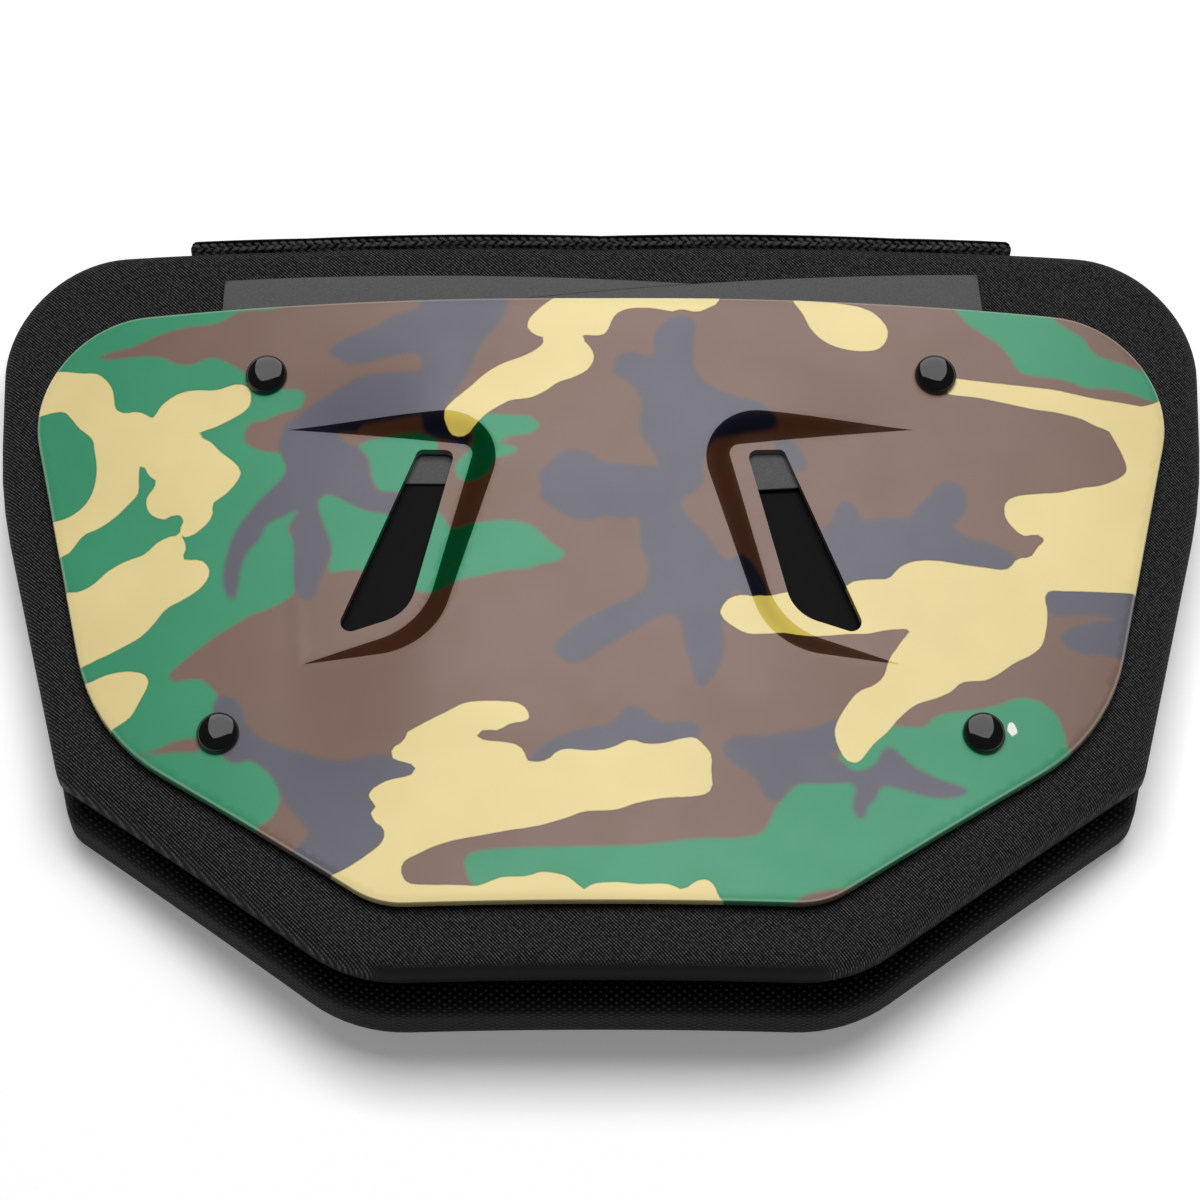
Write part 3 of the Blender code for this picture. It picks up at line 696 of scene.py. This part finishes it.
def linear(code: str) -> tuple:
    """An sRGB hex code such as "#8B746B" as a linear colour with alpha."""
    parts = [int(code[i : i + 2], 16) / 255 for i in (1, 3, 5)]
    return (*(c / 12.92 if c <= 0.04045 else ((c + 0.055) / 1.055) ** 2.4 for c in parts), 1.0)


class Graph:
    """A new material's shader nodes. Inputs are sockets, numbers or hex colours."""

    def __init__(self, name: str) -> None:
        self.material = bpy.data.materials.new(name)
        self.material.use_nodes = True
        self.tree = self.material.node_tree
        self.place = self.add("TexCoord").outputs["Object"]

    def feed(self, node: bpy.types.Node, inputs: dict) -> None:
        """Links or sets a node's inputs, given by name or number."""
        for key, value in inputs.items():
            if isinstance(value, bpy.types.NodeSocket):
                self.tree.links.new(value, node.inputs[key])
            else:
                node.inputs[key].default_value = linear(value) if isinstance(value, str) else value

    def add(self, kind: str, inputs: dict | None = None, **settings) -> bpy.types.Node:
        """Adds one node with its settings and inputs."""
        node = self.tree.nodes.new("ShaderNode" + kind)
        for key, value in settings.items():
            setattr(node, key, value)
        self.feed(node, inputs or {})
        return node

    def maths(self, operation: str, *values) -> bpy.types.NodeSocket:
        """The result of one Math node."""
        return self.add("Math", dict(enumerate(values)), operation=operation).outputs[0]

    def plus(self, first, second) -> bpy.types.NodeSocket:
        """Two values added."""
        return self.maths("ADD", first, second)

    def times(self, first, second) -> bpy.types.NodeSocket:
        """Two values multiplied."""
        return self.maths("MULTIPLY", first, second)

    def mixed(self, share, first, second, blend: str = "MIX") -> bpy.types.NodeSocket:
        """Two colours mixed by a share."""
        inputs = {0: share, 6: first, 7: second}
        return self.add("Mix", inputs, data_type="RGBA", blend_type=blend).outputs[2]

    def ramped(self, value, low: float, high: float, to=(0.0, 1.0)) -> bpy.types.NodeSocket:
        """A value eased from one range to another."""
        inputs = {0: value, 1: low, 2: high, 3: to[0], 4: to[1]}
        return self.add("MapRange", inputs, interpolation_type="SMOOTHSTEP").outputs[0]

    def attribute(self, name: str) -> bpy.types.NodeSocket:
        """A number kept on the mesh."""
        return self.add("Attribute", attribute_name=name).outputs["Fac"]

    def noise(self, size: float, detail: float) -> bpy.types.NodeSocket:
        """Cloudy noise with lumps of a size in metres."""
        inputs = {"Vector": self.place, "Scale": 1 / size, "Detail": detail}
        return self.add("TexNoise", inputs).outputs[0]

    def bump(self, strength: float, distance: float, height) -> bpy.types.NodeSocket:
        """Normals that follow a height."""
        inputs = {"Strength": strength, "Distance": distance, "Height": height}
        return self.add("Bump", inputs).outputs[0]

    def slants(self, rise, pitch: float, wave: str) -> list:
        """Two crossing waves over the face, slanting right and left."""
        across = self.add("SeparateXYZ", {0: self.place}).outputs[0]
        turns = math.tau / (pitch * math.sqrt(2))
        runs = [self.plus(self.times(across, slant), rise) for slant in (1.0, -1.0)]
        return [self.maths(wave, self.times(run, turns)) for run in runs]

    def finish(self, **inputs) -> bpy.types.Material:
        """Feeds the Principled node, and returns the material."""
        self.feed(self.tree.nodes["Principled BSDF"], inputs)
        return self.material


@dataclass(frozen=True)
class InkAndWallShade:
    """An ink's colour on the plate's face, and its darker colour on a scoop's wall, which paints
    the wall's shade.
    """

    face: str
    wall: str


@dataclass(frozen=True)
class CamouflageFilm:
    """Printed film under clear polycarbonate: flat patches, with painted shade on the scoop walls,
    a painted highlight just inside the edge and painted shade at the very edge.
    """

    # Each wall colour is painted shade: the ink as it looks in the shadow of a scoop's wall.
    ground: InkAndWallShade = InkAndWallShade("#7A6156", "#3B2115")
    inks: tuple = (
        (Ink.GREEN, InkAndWallShade("#38916A", "#003C1C"), 0.9),
        (Ink.GREY, InkAndWallShade("#5E5D67", "#0C0D18"), 1.0),
        (Ink.BROWN, InkAndWallShade("#7A6156", "#3B2115"), 0.9),
        (Ink.TAN, InkAndWallShade("#E9D696", "#D2BC58"), 0.22),
        (Ink.WHITE_SPOT, InkAndWallShade("#F2F0EA", "#F2F0EA"), 0.15),
    )
    waver: float = 0.35
    roughness: float = 0.36
    specular: float = 0.5
    wall_specular: float = 0.06
    coat: float = 0.15
    # The rim colour is a painted highlight in a thin band just inside the shell's edge.
    rim: str = "#FFF6E4"
    rim_highlight: float = 0.18
    tan_edge: str = "#30200C"
    tan_edge_share: float = 0.22

    def material(self) -> bpy.types.Material:
        """The film as a material."""
        graph = Graph("camouflage_polycarbonate")
        shift = graph.times(graph.maths("SUBTRACT", graph.noise(5 * MM, 2.0), 0.5), self.waver)
        # The scoop walls take each ink's darker wall colour: painted shade.
        in_wall = graph.attribute("scoop_wall")
        colour = graph.mixed(in_wall, self.ground.face, self.ground.wall)
        for ink, tone, blur in self.inks:
            gap = graph.plus(graph.attribute(ink.value), shift)
            if ink is Ink.TAN:
                edge = graph.ramped(gap, 0.0, 0.7, (self.tan_edge_share, 0.0))
                colour = graph.mixed(edge, colour, self.tan_edge)
            share = graph.ramped(gap, -blur, blur, (1.0, 0.0))
            colour = graph.mixed(share, colour, graph.mixed(in_wall, tone.face, tone.wall))
        # A pale band 0.15 to 1.1 mm inside the edge: painted highlight on the rounded edge.
        rim = graph.attribute("rim")
        outer, inner = (
            graph.ramped(rim, *reach, (self.rim_highlight, 0.0)) for reach in ((0.15, 0.5), (0.5, 1.1))
        )
        colour = graph.mixed(graph.maths("SUBTRACT", inner, outer), colour, self.rim)
        light = graph.ramped(graph.noise(38 * MM, 3.0), 0.25, 0.75, (0.95, 1.04))
        # The outermost half millimetre is darkened: painted shade on the edge.
        dark = graph.ramped(rim, 0.0, 0.45, (0.55, 1.0))
        rough = (self.roughness, self.roughness + 0.08)
        gloss = (self.specular, self.wall_specular)
        inputs = {
            "Base Color": graph.mixed(1.0, colour, graph.times(light, dark), "MULTIPLY"),
            "Roughness": graph.ramped(graph.noise(14 * MM, 6.0), 0.35, 0.7, rough),
            "Specular IOR Level": graph.ramped(in_wall, 0.0, 1.0, gloss),
            "Coat Weight": graph.ramped(in_wall, 0.0, 1.0, (self.coat, 0.0)),
            "Coat Roughness": 0.25,
        }
        return graph.finish(**inputs)


@dataclass(frozen=True)
class WovenPolyester:
    """Coarse black weave, plainer on the side wall, and plain dark under the shell as painted
    shade: light threads run both ways on a slant.
    """

    ground: str = "#0B0B0B"
    thread: str = "#6C6C6C"
    # Plain colour of the side wall, and painted shade on the fabric under the shell.
    wall: str = "#1B1B1C"
    pitch: float = 0.72 * MM

    def material(self) -> bpy.types.Material:
        """The weave as a material."""
        graph = Graph("black_woven_polyester")
        up = graph.add("SeparateXYZ", {0: graph.place}).outputs[1]
        waves = graph.slants(up, self.pitch, "SINE")
        rows = [graph.plus(graph.times(wave, 0.5), 0.5) for wave in waves]
        crossed = graph.ramped(rows[1], 0.0, 1.0, (0.35, 1.0))
        threads = graph.times(graph.maths("POWER", rows[0], 1.8), crossed)
        grain = graph.ramped(graph.noise(0.9 * MM, 2.0), 0.3, 0.7, (0.3, 0.9))
        woven = graph.mixed(graph.times(threads, grain), self.ground, self.thread)
        # Where face is 0 the plain wall colour shows: the side wall, and painted shade under the
        # shell.
        face = graph.attribute("face")
        inputs = {
            "Base Color": graph.mixed(face, self.wall, woven),
            "Roughness": 0.8,
            "Specular IOR Level": 0.12,
            "Normal": graph.bump(0.5, 0.2 * MM, graph.times(threads, face)),
        }
        return graph.finish(**inputs)


@dataclass(frozen=True)
class SpacerMesh:
    """Black spacer mesh: slanting rows of small raised knots that catch a little light."""

    valley: str = "#000000"
    dot: str = "#222227"
    pitch: float = 2.0 * MM

    def material(self) -> bpy.types.Material:
        """The mesh as a material."""
        graph = Graph("black_spacer_mesh")
        parts = graph.add("SeparateXYZ", {0: graph.place}).outputs
        waves = graph.slants(graph.plus(parts[1], parts[2]), self.pitch, "COSINE")
        dots = graph.ramped(graph.plus(graph.plus(*waves), graph.noise(1.6 * MM, 2.0)), 0.9, 2.4)
        inputs = {
            "Base Color": graph.mixed(dots, self.valley, self.dot),
            "Roughness": 0.7,
            "Specular IOR Level": 0.08,
            "Normal": graph.bump(1.0, 0.9 * MM, dots),
        }
        return graph.finish(**inputs)


@dataclass(frozen=True)
class BraidedKnit:
    """Thick black yarn with painted light and shade: the tops of the stitches are lighter than the
    gaps between them.
    """

    # The gap colour is painted shade between the stitches, the yarn colour a painted highlight on
    # their tops.
    gap: str = "#030303"
    yarn: str = "#525252"

    def material(self) -> bpy.types.Material:
        """The knit as a material."""
        graph = Graph("black_knit")
        fibre = graph.noise(0.5 * MM, 4.0)
        # Lighter where the relief stands high, darker in the gaps: painted highlight and shade.
        relief_light_and_shade = graph.ramped(graph.attribute("relief"), 0.35, 1.0)
        top = graph.times(relief_light_and_shade, graph.ramped(fibre, 0.3, 0.7, (0.4, 1.2)))
        inputs = {
            "Base Color": graph.mixed(top, self.gap, self.yarn),
            "Roughness": 0.85,
            "Specular IOR Level": 0.15,
            "Normal": graph.bump(0.7, 0.15 * MM, fibre),
        }
        return graph.finish(**inputs)


@dataclass(frozen=True)
class PlainFinish:
    """A smooth finish with faint cloudiness and grain, for vinyl, yarn and moulded nylon, with an
    optional painted shadow line along its edge.
    """

    name: str
    colour: str
    roughness: float
    grain: float = 0.5 * MM
    grain_depth: float = 0.02 * MM
    spread: float = 0.12
    specular: float = 0.5
    painted_edge_shadow: bool = False

    def material(self) -> bpy.types.Material:
        """The finish as a material."""
        graph = Graph(self.name)
        fine = graph.noise(self.grain, 3.0)
        share = graph.ramped(fine, 0.3, 0.7, (1 - self.spread, 1 + self.spread))
        # A dark line within half a millimetre of the edge: painted shadow, as where one sheet's
        # edge shades the other.
        if self.painted_edge_shadow:
            dark = graph.ramped(graph.attribute("rim"), 0.15, 0.5, (0.12, 1.0))
            share = graph.times(share, dark)
        inputs = {
            "Base Color": graph.mixed(1.0, self.colour, share, "MULTIPLY"),
            "Roughness": self.roughness,
            "Specular IOR Level": self.specular,
            "Coat Roughness": 0.03,
            "Normal": graph.bump(0.5, self.grain_depth, fine),
        }
        return graph.finish(**inputs)


# ---- pieces


def placed(obj: bpy.types.Object, material: bpy.types.Material, slot: str, *nodes: str) -> None:
    """Gives a piece its finish, body and the CAD nodes that it stands for."""
    obj.data.materials.clear()
    obj.data.materials.append(material)
    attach(obj, BODY)
    if nodes:
        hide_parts(*nodes)


@dataclass
class Shell:
    """The hard shell with its crown, scoops, slots and printed camouflage."""

    sizes: ShellSizes = field(default_factory=ShellSizes)

    def outline(self) -> np.ndarray:
        """The shell's edge in plan."""
        s = self.sizes
        return Outline(SHELL_OUTLINE, s.width, s.height, (0.0, -s.drop)).points()

    def scoop(self, corners: tuple, side: int = 1) -> np.ndarray:
        """One of the scoop's outlines in plan, on the right or on the left."""
        s = self.sizes
        outline = Outline(corners, s.scoop_width, s.scoop_height, (s.scoop_x, s.scoop_y), False)
        return outline.points(side=side)

    def crown(self, places: np.ndarray) -> np.ndarray:
        """How far the shell stands above its plain bend; the scoops bring this to nothing."""
        s = self.sizes
        point = np.abs(places * (1, 0)) + places * (0, 1)
        inner, outer = s.scoop_x - s.scoop_width / 2, s.scoop_x + s.scoop_width / 2
        low, high = s.scoop_y - s.scoop_height / 2, s.scoop_y + s.scoop_height / 2
        shell_low, shell_high = -s.drop - s.height / 2, -s.drop + s.height / 2
        full = inner + s.full_share * s.scoop_width
        y = point[:, 1]
        rise = s.rise * smooth((outer - point[:, 0]) / (outer - full))
        rise *= np.where(y > high, smooth((shell_high - y) / (shell_high - high)), 1)
        rise *= np.where(y < low, smooth((y - shell_low) / (low - shell_low)), 1)
        rim, floor = self.scoop(SCOOP_RIM), self.scoop(SCOOP_FLOOR)
        from_rim = distance_to(point, rim, closed=False)
        from_floor = distance_to(point, floor, closed=False)
        share = smooth(from_rim / np.maximum(from_rim + from_floor, 1e-9))
        within = inside(point, rim)
        return np.where(inside(point, floor), 0, np.where(within, rise * (1 - share), rise))

    def build(self, finish: CamouflageFilm) -> None:
        """Makes the shell with its chart attributes, and prints it."""
        s = self.sizes
        outline = self.outline()
        sides = (-1, 1)
        slab = Slab(
            outline=outline,
            base=Layers.shell_base,
            top=Layers.shell_top,
            spacing=s.spacing,
            top_rounding=s.edge,
            holes=[self.scoop(SCOOP_SLOT, side) for side in sides],
            creases=[self.scoop(c, side) for c in (SCOOP_RIM, SCOOP_FLOOR) for side in sides],
            rise=self.crown,
        )
        made = slab.build("shell_cover")
        places = plan_places(made)
        for ink in Ink:
            gap = np.full(len(places), FAR)
            for loop in CHART.get(ink, ()):
                gap = np.minimum(gap, signed(places / MM, curved(loop)))
            stored(made, ink.value, gap)
        middles = np.empty(len(made.data.polygons) * 3, np.float32)
        made.data.polygons.foreach_get("center", middles)
        middles = middles.reshape(-1, 3)[:, :2].astype(float) - (0.0, Layers.middle_y)
        middles[:, 0] = np.abs(middles[:, 0])
        # The scoop-wall faces found here take the painted shade.
        ring = np.vstack([self.scoop(SCOOP_RIM), self.scoop(SCOOP_FLOOR)[::-1]])
        wall = inside(middles, ring)
        stored(made, "scoop_wall", wall, "FACE")
        # The distance from the edge places the rim's painted highlight and painted shade.
        stored(made, "rim", distance_to(places, outline) / MM)
        placed(made, finish.material(), "camouflage_polycarbonate", "shell")


@dataclass
class Rivets:
    """Glossy domes that hold the shell."""

    diameter: float = 0.012
    height: float = 0.0036
    fullness: float = 2.8
    shank_radius: float = 0.002
    shank_length: float = 0.008
    lip: float = 0.0003
    places: tuple = (
        ("upper", 0.592, 0.743),
        ("lower", 0.654, -0.440),
    )
    steps: int = 64
    rings: int = 28

    def build(self, shell: ShellSizes, finish: PlainFinish) -> None:
        """Makes the four domes, square to the bent shell, whose sizes their places follow."""
        material = finish.material()
        for word, across, up in self.places:
            for side, hand in ((-1, "left"), (1, "right")):
                x = side * across * shell.width / 2
                y = up * shell.height / 2 - shell.drop + Layers.middle_y
                self._dome(f"{word}_{hand}", x, y, material)

    def _dome(self, word: str, x: float, y: float, material: bpy.types.Material) -> None:
        """One dome with a small upright rim and a shank."""
        bm = bmesh.new()
        radius, power = self.diameter / 2, 2 / self.fullness
        shank, deep, lip = self.shank_radius, -self.shank_length, self.lip
        profile = [(0.0, deep), (shank, deep), (shank, 0.0), (radius - lip, 0.0)]
        for i in range(self.rings):
            angle = math.pi / 2 * i / self.rings
            across, up = math.cos(angle) ** power, math.sin(angle) ** power
            profile.append((radius * across, lip + (self.height - lip) * up))
        profile.append((0.0, self.height))
        verts = [bm.verts.new((r, 0.0, z)) for r, z in profile]
        edges = [bm.edges.new(pair) for pair in zip(verts, verts[1:])]
        geometry = {"geom": [*verts, *edges], "axis": (0, 0, 1)}
        bmesh.ops.spin(bm, **geometry, angle=math.tau, steps=self.steps, use_merge=True)
        bmesh.ops.remove_doubles(bm, verts=bm.verts[:], dist=1e-6)
        lean = math.asin(x / Layers.bend)
        z = Layers.shell_top + Layers.clearance - float(sag(x))
        turn = Matrix.Translation((x, y, z)) @ Matrix.Rotation(lean, 4, "Y")
        bmesh.ops.transform(bm, verts=bm.verts[:], matrix=turn)
        made = finished(f"rivet_dome_{word}", bm)
        placed(made, material, "black_gloss_nylon", f"rivet_{word}")


@dataclass
class Liners:
    """The two grey sheets behind the shell; the right one lies over the left."""

    length: float = 0.155
    width: float = 0.067
    thickness: float = 0.0008
    reach: float = 0.1095

    def build(self, finish: PlainFinish) -> None:
        """Makes both sheets."""
        material = finish.material()
        for word, side, edge_y, tilt, base in (
            ("left", -1, 0.0995, -2.6, Layers.left_liner),
            ("right", 1, 0.10085, 5.65, Layers.right_liner),
        ):
            along = np.array([-side * self.length, 0.0])
            down = np.array([0.0, -self.width])
            turn = np.array(Matrix.Rotation(math.radians(tilt), 2))
            corner = np.array([side * self.reach, edge_y])
            loop = np.array([corner + turn @ way for way in (0 * down, along, along + down, down)])
            slab = Slab(loop, base, base + self.thickness, 0.003, top_rounding=0.0005)
            made = slab.build(f"liner_sheet_{word}")
            # The distance from the edge places the painted shadow line along each sheet's edge.
            stored(made, "rim", distance_to(plan_places(made), loop) / MM)
            placed(made, material, "grey_vinyl", f"liner_{word}")


@dataclass
class Pads:
    """The two foam layers in their fabric covers."""

    width: float = 0.350
    height: float = 0.2286
    side_inset: float = 0.003
    top_inset: float = 0.0005
    bottom_reach: float = 0.0072
    spacing: float = 0.0045
    pressure: float = 4.0
    puff: float = 0.0012
    fill: float = 0.85
    lip: float = 0.0005

    def build(self, weave: WovenPolyester, mesh: SpacerMesh) -> None:
        """Makes both pads, with a weave on the front one and a mesh on the rear one."""
        outline = Outline(FRONT_OUTLINE, self.width, self.height).points()
        front = Slab(
            outline=outline,
            base=Layers.front_base,
            top=Layers.front_top,
            spacing=self.spacing,
            top_rounding=0.006,
            under_rounding=0.0015,
            wall_cuts=2,
        ).build("front_pad_cover")
        places = plan_places(front)
        depth = distance_to(places, outline)
        high = coordinates(front.data)[:, 2] > Layers.front_base + 0.003 - sag(places[:, 0])
        shell = Shell().outline()
        covered = inside(places, offset(shell, -0.004))
        settled(front, ~high | covered | (depth < 0.001), self.pressure, self.puff)
        woven = high & ((depth > 0.0022) | (np.abs(places[:, 0]) > 0.062))
        # Under the shell the weave gives way to the plain dark colour: painted shade.
        stored(front, "face", woven & ~inside(places, offset(shell, 0.006)))
        placed(front, weave.material(), "black_woven_polyester", "front_pad")
        rear_width = self.width - 2 * self.side_inset
        rear_height = self.height - self.top_inset + self.bottom_reach
        centre = (0.0, -(self.top_inset + self.bottom_reach) / 2)
        inner = Outline(REAR_OUTLINE, rear_width, rear_height, centre).points()
        rear = Slab(
            outline=inner,
            base=Layers.rear_base,
            top=Layers.rear_top,
            spacing=self.spacing,
            top_rounding=0.007,
            under_rounding=0.007,
            wall_cuts=3,
        ).build("rear_pad_cover")
        places = plan_places(rear)
        depth = distance_to(places, inner)
        level = coordinates(rear.data)[:, 2] + sag(places[:, 0])
        under = (level < Layers.rear_base + 0.004) & (depth > 0.012)
        under &= np.abs(places[:, 0]) < 0.135
        settled(rear, ~under, self.pressure, self.puff)
        placed(rear, mesh.material(), "black_spacer_mesh", "rear_pad")
        self._piping(outline)

    def _piping(self, outline: np.ndarray) -> None:
        """The lip of the seam that closes the front pad's cover, along the lower edges, coloured
        pale grey as a painted highlight on its ridge.
        """
        loop = resampled(offset(outline, 0.0009), 0.004)
        # The pale grey is a painted highlight on the seam's ridge.
        finish = PlainFinish("seam_lip_highlight", "#8A8A8C", 0.6, specular=0.2).material()
        for word, side in (("left", -1), ("right", 1)):
            run = loop[(loop[:, 0] * side > 0.052) & (loop[:, 1] < -0.047)]
            run = run[np.argsort(run[:, 0])]
            height = Layers.front_base + self.lip - sag(run[:, 0])
            path = np.c_[run + (0.0, Layers.middle_y), height]
            placed(tube(f"front_pad_lip_{word}", path, self.lip), finish, "grey_vinyl")


@dataclass
class NeckBand:
    """Braided strip along the neck edge, with its stitches in relief."""

    length: float = 0.241
    thickness: float = 0.0045
    width: float = 0.026
    on_front: float = 0.0085
    rounding: float = 0.002
    fineness: float = 0.0006
    stitch: float = 0.0026
    row: float = 0.0019
    relief: float = 0.0009
    lean: float = 0.6
    jitter: float = 0.35

    def section(self) -> tuple:
        """The rounded cross-section: its points, outward normals and distances run along it."""
        r, t, w = self.rounding, self.thickness, self.width
        corners = ((t - r, -r, 0), (r, -r, 1), (r, r - w, 2), (t - r, r - w, 3))
        found, normals = [], []
        for y, z, quarter in corners:
            for step in range(6):
                angle = math.pi / 2 * (quarter + step / 5)
                normal = (math.cos(angle), math.sin(angle))
                found.append((y + r * normal[0], z + r * normal[1]))
                normals.append(normal)
        line = np.array(found + found[:1])
        run = np.r_[0, np.cumsum(np.hypot(*np.diff(line, axis=0).T))]
        at = np.linspace(0, run[-1], round(run[-1] / self.fineness) + 1)
        normals = np.array(normals + normals[:1])
        place = np.c_[np.interp(at, run, line[:, 0]), np.interp(at, run, line[:, 1])]
        out = np.c_[np.interp(at, run, normals[:, 0]), np.interp(at, run, normals[:, 1])]
        return place, out / np.hypot(*out.T)[:, None], at

    def stitches(self, along: np.ndarray, across: np.ndarray, length: float) -> np.ndarray:
        """Height of the braid from 0 to 1: leaning rounded stitches, turned in every other row."""
        rows = round(length / self.row)
        turn = across / length * rows
        row = np.floor(turn)
        local = turn - row - 0.5
        hand = np.where(row % 2 == 0, 1.0, -1.0)
        phase = along / self.stitch + hand * self.lean * local + 0.3 * np.sin(row * 2.1)
        uneven = np.sin(np.floor(phase) * 12.9898 + row * 78.233) * self.jitter
        wave = np.abs(np.sin(math.pi * phase)) * (1 + uneven)
        rounded = np.clip(1 - (2 * np.abs(local)) ** 2.5, 0, 1)
        return np.clip(np.sqrt(wave) * np.sqrt(rounded), 0, 1)

    def build(self, finish: BraidedKnit) -> None:
        """Makes the band."""
        front = Outline(FRONT_OUTLINE, Pads.width, Pads.height).points()
        place, out, at = self.section()
        columns = round(self.length / self.fineness)
        x = np.linspace(-self.length / 2, self.length / 2, columns + 1)
        height = self.stitches(x[:, None], at[None, :], at[-1])
        ends = np.clip((self.length / 2 - np.abs(x)) / self.rounding, 0, 1)
        taper = self.rounding * 0.9 * (1 - np.sqrt(1 - (1 - ends) ** 2))
        edge = np.hypot(place[:, 0] - self.thickness, place[:, 1])
        height = np.maximum(height, smooth(1 - (edge - 0.0012) / 0.001)[None, :])
        push = self.relief * (height - 1) - taper[:, None]
        y = neck_edge(front, x)[:, None] + Layers.clearance + place[:, 0] + out[:, 0] * push
        z = Layers.front_base + self.on_front - sag(x)[:, None] + place[:, 1] + out[:, 1] * push
        bm = bmesh.new()
        bmesh.ops.create_grid(bm, x_segments=columns, y_segments=len(at) - 1, size=0.5)
        # The relief kept here places the knit's painted highlight and shade.
        layer = bm.verts.layers.float.new("relief")
        for vert in bm.verts:
            i = round((vert.co.x + 0.5) * columns)
            j = round((vert.co.y + 0.5) * (len(at) - 1))
            vert[layer] = height[i, j] * (edge[j] > 0.0017)
            vert.co = (x[i], y[i, j] + Layers.middle_y, z[i, j])
        bmesh.ops.remove_doubles(bm, verts=bm.verts[:], dist=1e-6)
        bmesh.ops.holes_fill(bm, edges=[edge for edge in bm.edges if edge.is_boundary], sides=0)
        made = finished("neck_band_cover", bm, 80.0)
        placed(made, finish.material(), "black_knit", "neck_band")


# ---- studio


@dataclass(frozen=True)
class Studio:
    """White floor, soft lights and the camera at the photograph's angle."""

    elevation: float = math.radians(66)
    distance: float = 1.2
    lens: float = 127.57
    sensor: float = 36.0
    target: tuple = (0.0, Layers.middle_y, 0.042)
    shift: float = -1 / 1200

    def camera(self) -> None:
        """Places the camera and makes it the scene's."""
        data = bpy.data.cameras.new("camera")
        data.lens, data.sensor_width = self.lens, self.sensor
        data.shift_x = self.shift
        data.dof.use_dof = False
        data.clip_end = 20.0
        made = linked("camera", data)
        back = Vector((0.0, -math.cos(self.elevation), math.sin(self.elevation)))
        made.location = Vector(self.target) + back * self.distance
        made.rotation_euler = back.to_track_quat("Z", "Y").to_euler()
        bpy.context.scene.camera = made

    def floor(self) -> None:
        """A wide pale floor that the plate lies on."""
        bm = bmesh.new()
        bmesh.ops.create_grid(bm, x_segments=2, y_segments=2, size=3.0)
        made = finished("floor", bm)
        made.location.z = -0.0002
        graph = Graph("studio_paper")
        paper = {"Base Color": "#F9F9F9", "Roughness": 0.9, "Specular IOR Level": 0.0}
        glow = {"Emission Color": "#FFFFFF", "Emission Strength": 0.2}
        made.data.materials.append(graph.finish(**paper, **glow))

    def light(
        self, name: str, place: tuple, size: tuple, glow: float, mirrored: bool, lit: tuple = ()
    ) -> None:
        """One soft rectangular light aimed at the plate.

        Args:
            name: Name of the light.
            place: Its middle.
            size: Its width and height.
            glow: Radiance of its face.
            mirrored: True for a scrim that shows only in gloss, False for a lamp that only lights.
            lit: Names of the only pieces that it falls on, or none for all.
        """
        data = bpy.data.lights.new(name, "AREA")
        data.shape = "RECTANGLE"
        data.size, data.size_y = size
        data.energy = glow * math.pi * size[0] * size[1]
        made = linked(name, data)
        made.location = place
        away = Vector(place) - Vector(self.target)
        made.rotation_euler = away.to_track_quat("Z", "Y").to_euler()
        made.visible_glossy = mirrored
        made.visible_diffuse = not mirrored
        if lit:
            lit_pieces = bpy.data.collections.new(name + "_on")
            made.light_linking.receiver_collection = lit_pieces
            for piece in lit:
                lit_pieces.objects.link(bpy.data.objects[piece])

    def build(self) -> None:
        """Makes the floor, the lights, the camera and the surroundings' glow."""
        self.camera()
        self.floor()
        self.light("key", (0.06, 0.25, 1.6), (0.9, 0.8), 9.9, False)
        self.light("scrim", (0.2, 0.85, 1.45), (1.7, 2.0), 2.1, True, ("shell_cover",))
        domes = tuple(obj.name for obj in bpy.data.objects if obj.name.startswith("rivet_dome"))
        self.light("hood", (0.0, 1.5, 1.5), (3.0, 3.3), 2.6, True, domes)
        world = bpy.data.worlds.new("studio")
        world.use_nodes = True
        glow = world.node_tree.nodes["Background"]
        glow.inputs["Color"].default_value = (1.0, 1.0, 1.0, 1.0)
        glow.inputs["Strength"].default_value = 0.12
        bpy.context.scene.world = world
        bpy.context.scene.view_settings.view_transform = "Standard"


def main() -> None:
    """Builds every piece, the studio and the camera."""
    logging.basicConfig(level=logging.INFO)
    shell = Shell()
    shell.build(CamouflageFilm())
    nylon = PlainFinish("black_gloss_nylon", "#050506", 0.04, grain_depth=0.0)
    # The vinyl's dark edge line is painted shadow.
    vinyl = PlainFinish("grey_vinyl", "#5A5A5A", 0.6, specular=0.25, painted_edge_shadow=True)
    Rivets().build(shell.sizes, nylon)
    Liners().build(vinyl)
    Pads().build(WovenPolyester(), SpacerMesh())
    NeckBand().build(BraidedKnit())
    Studio().build()


if __name__ == "__main__":
    main()
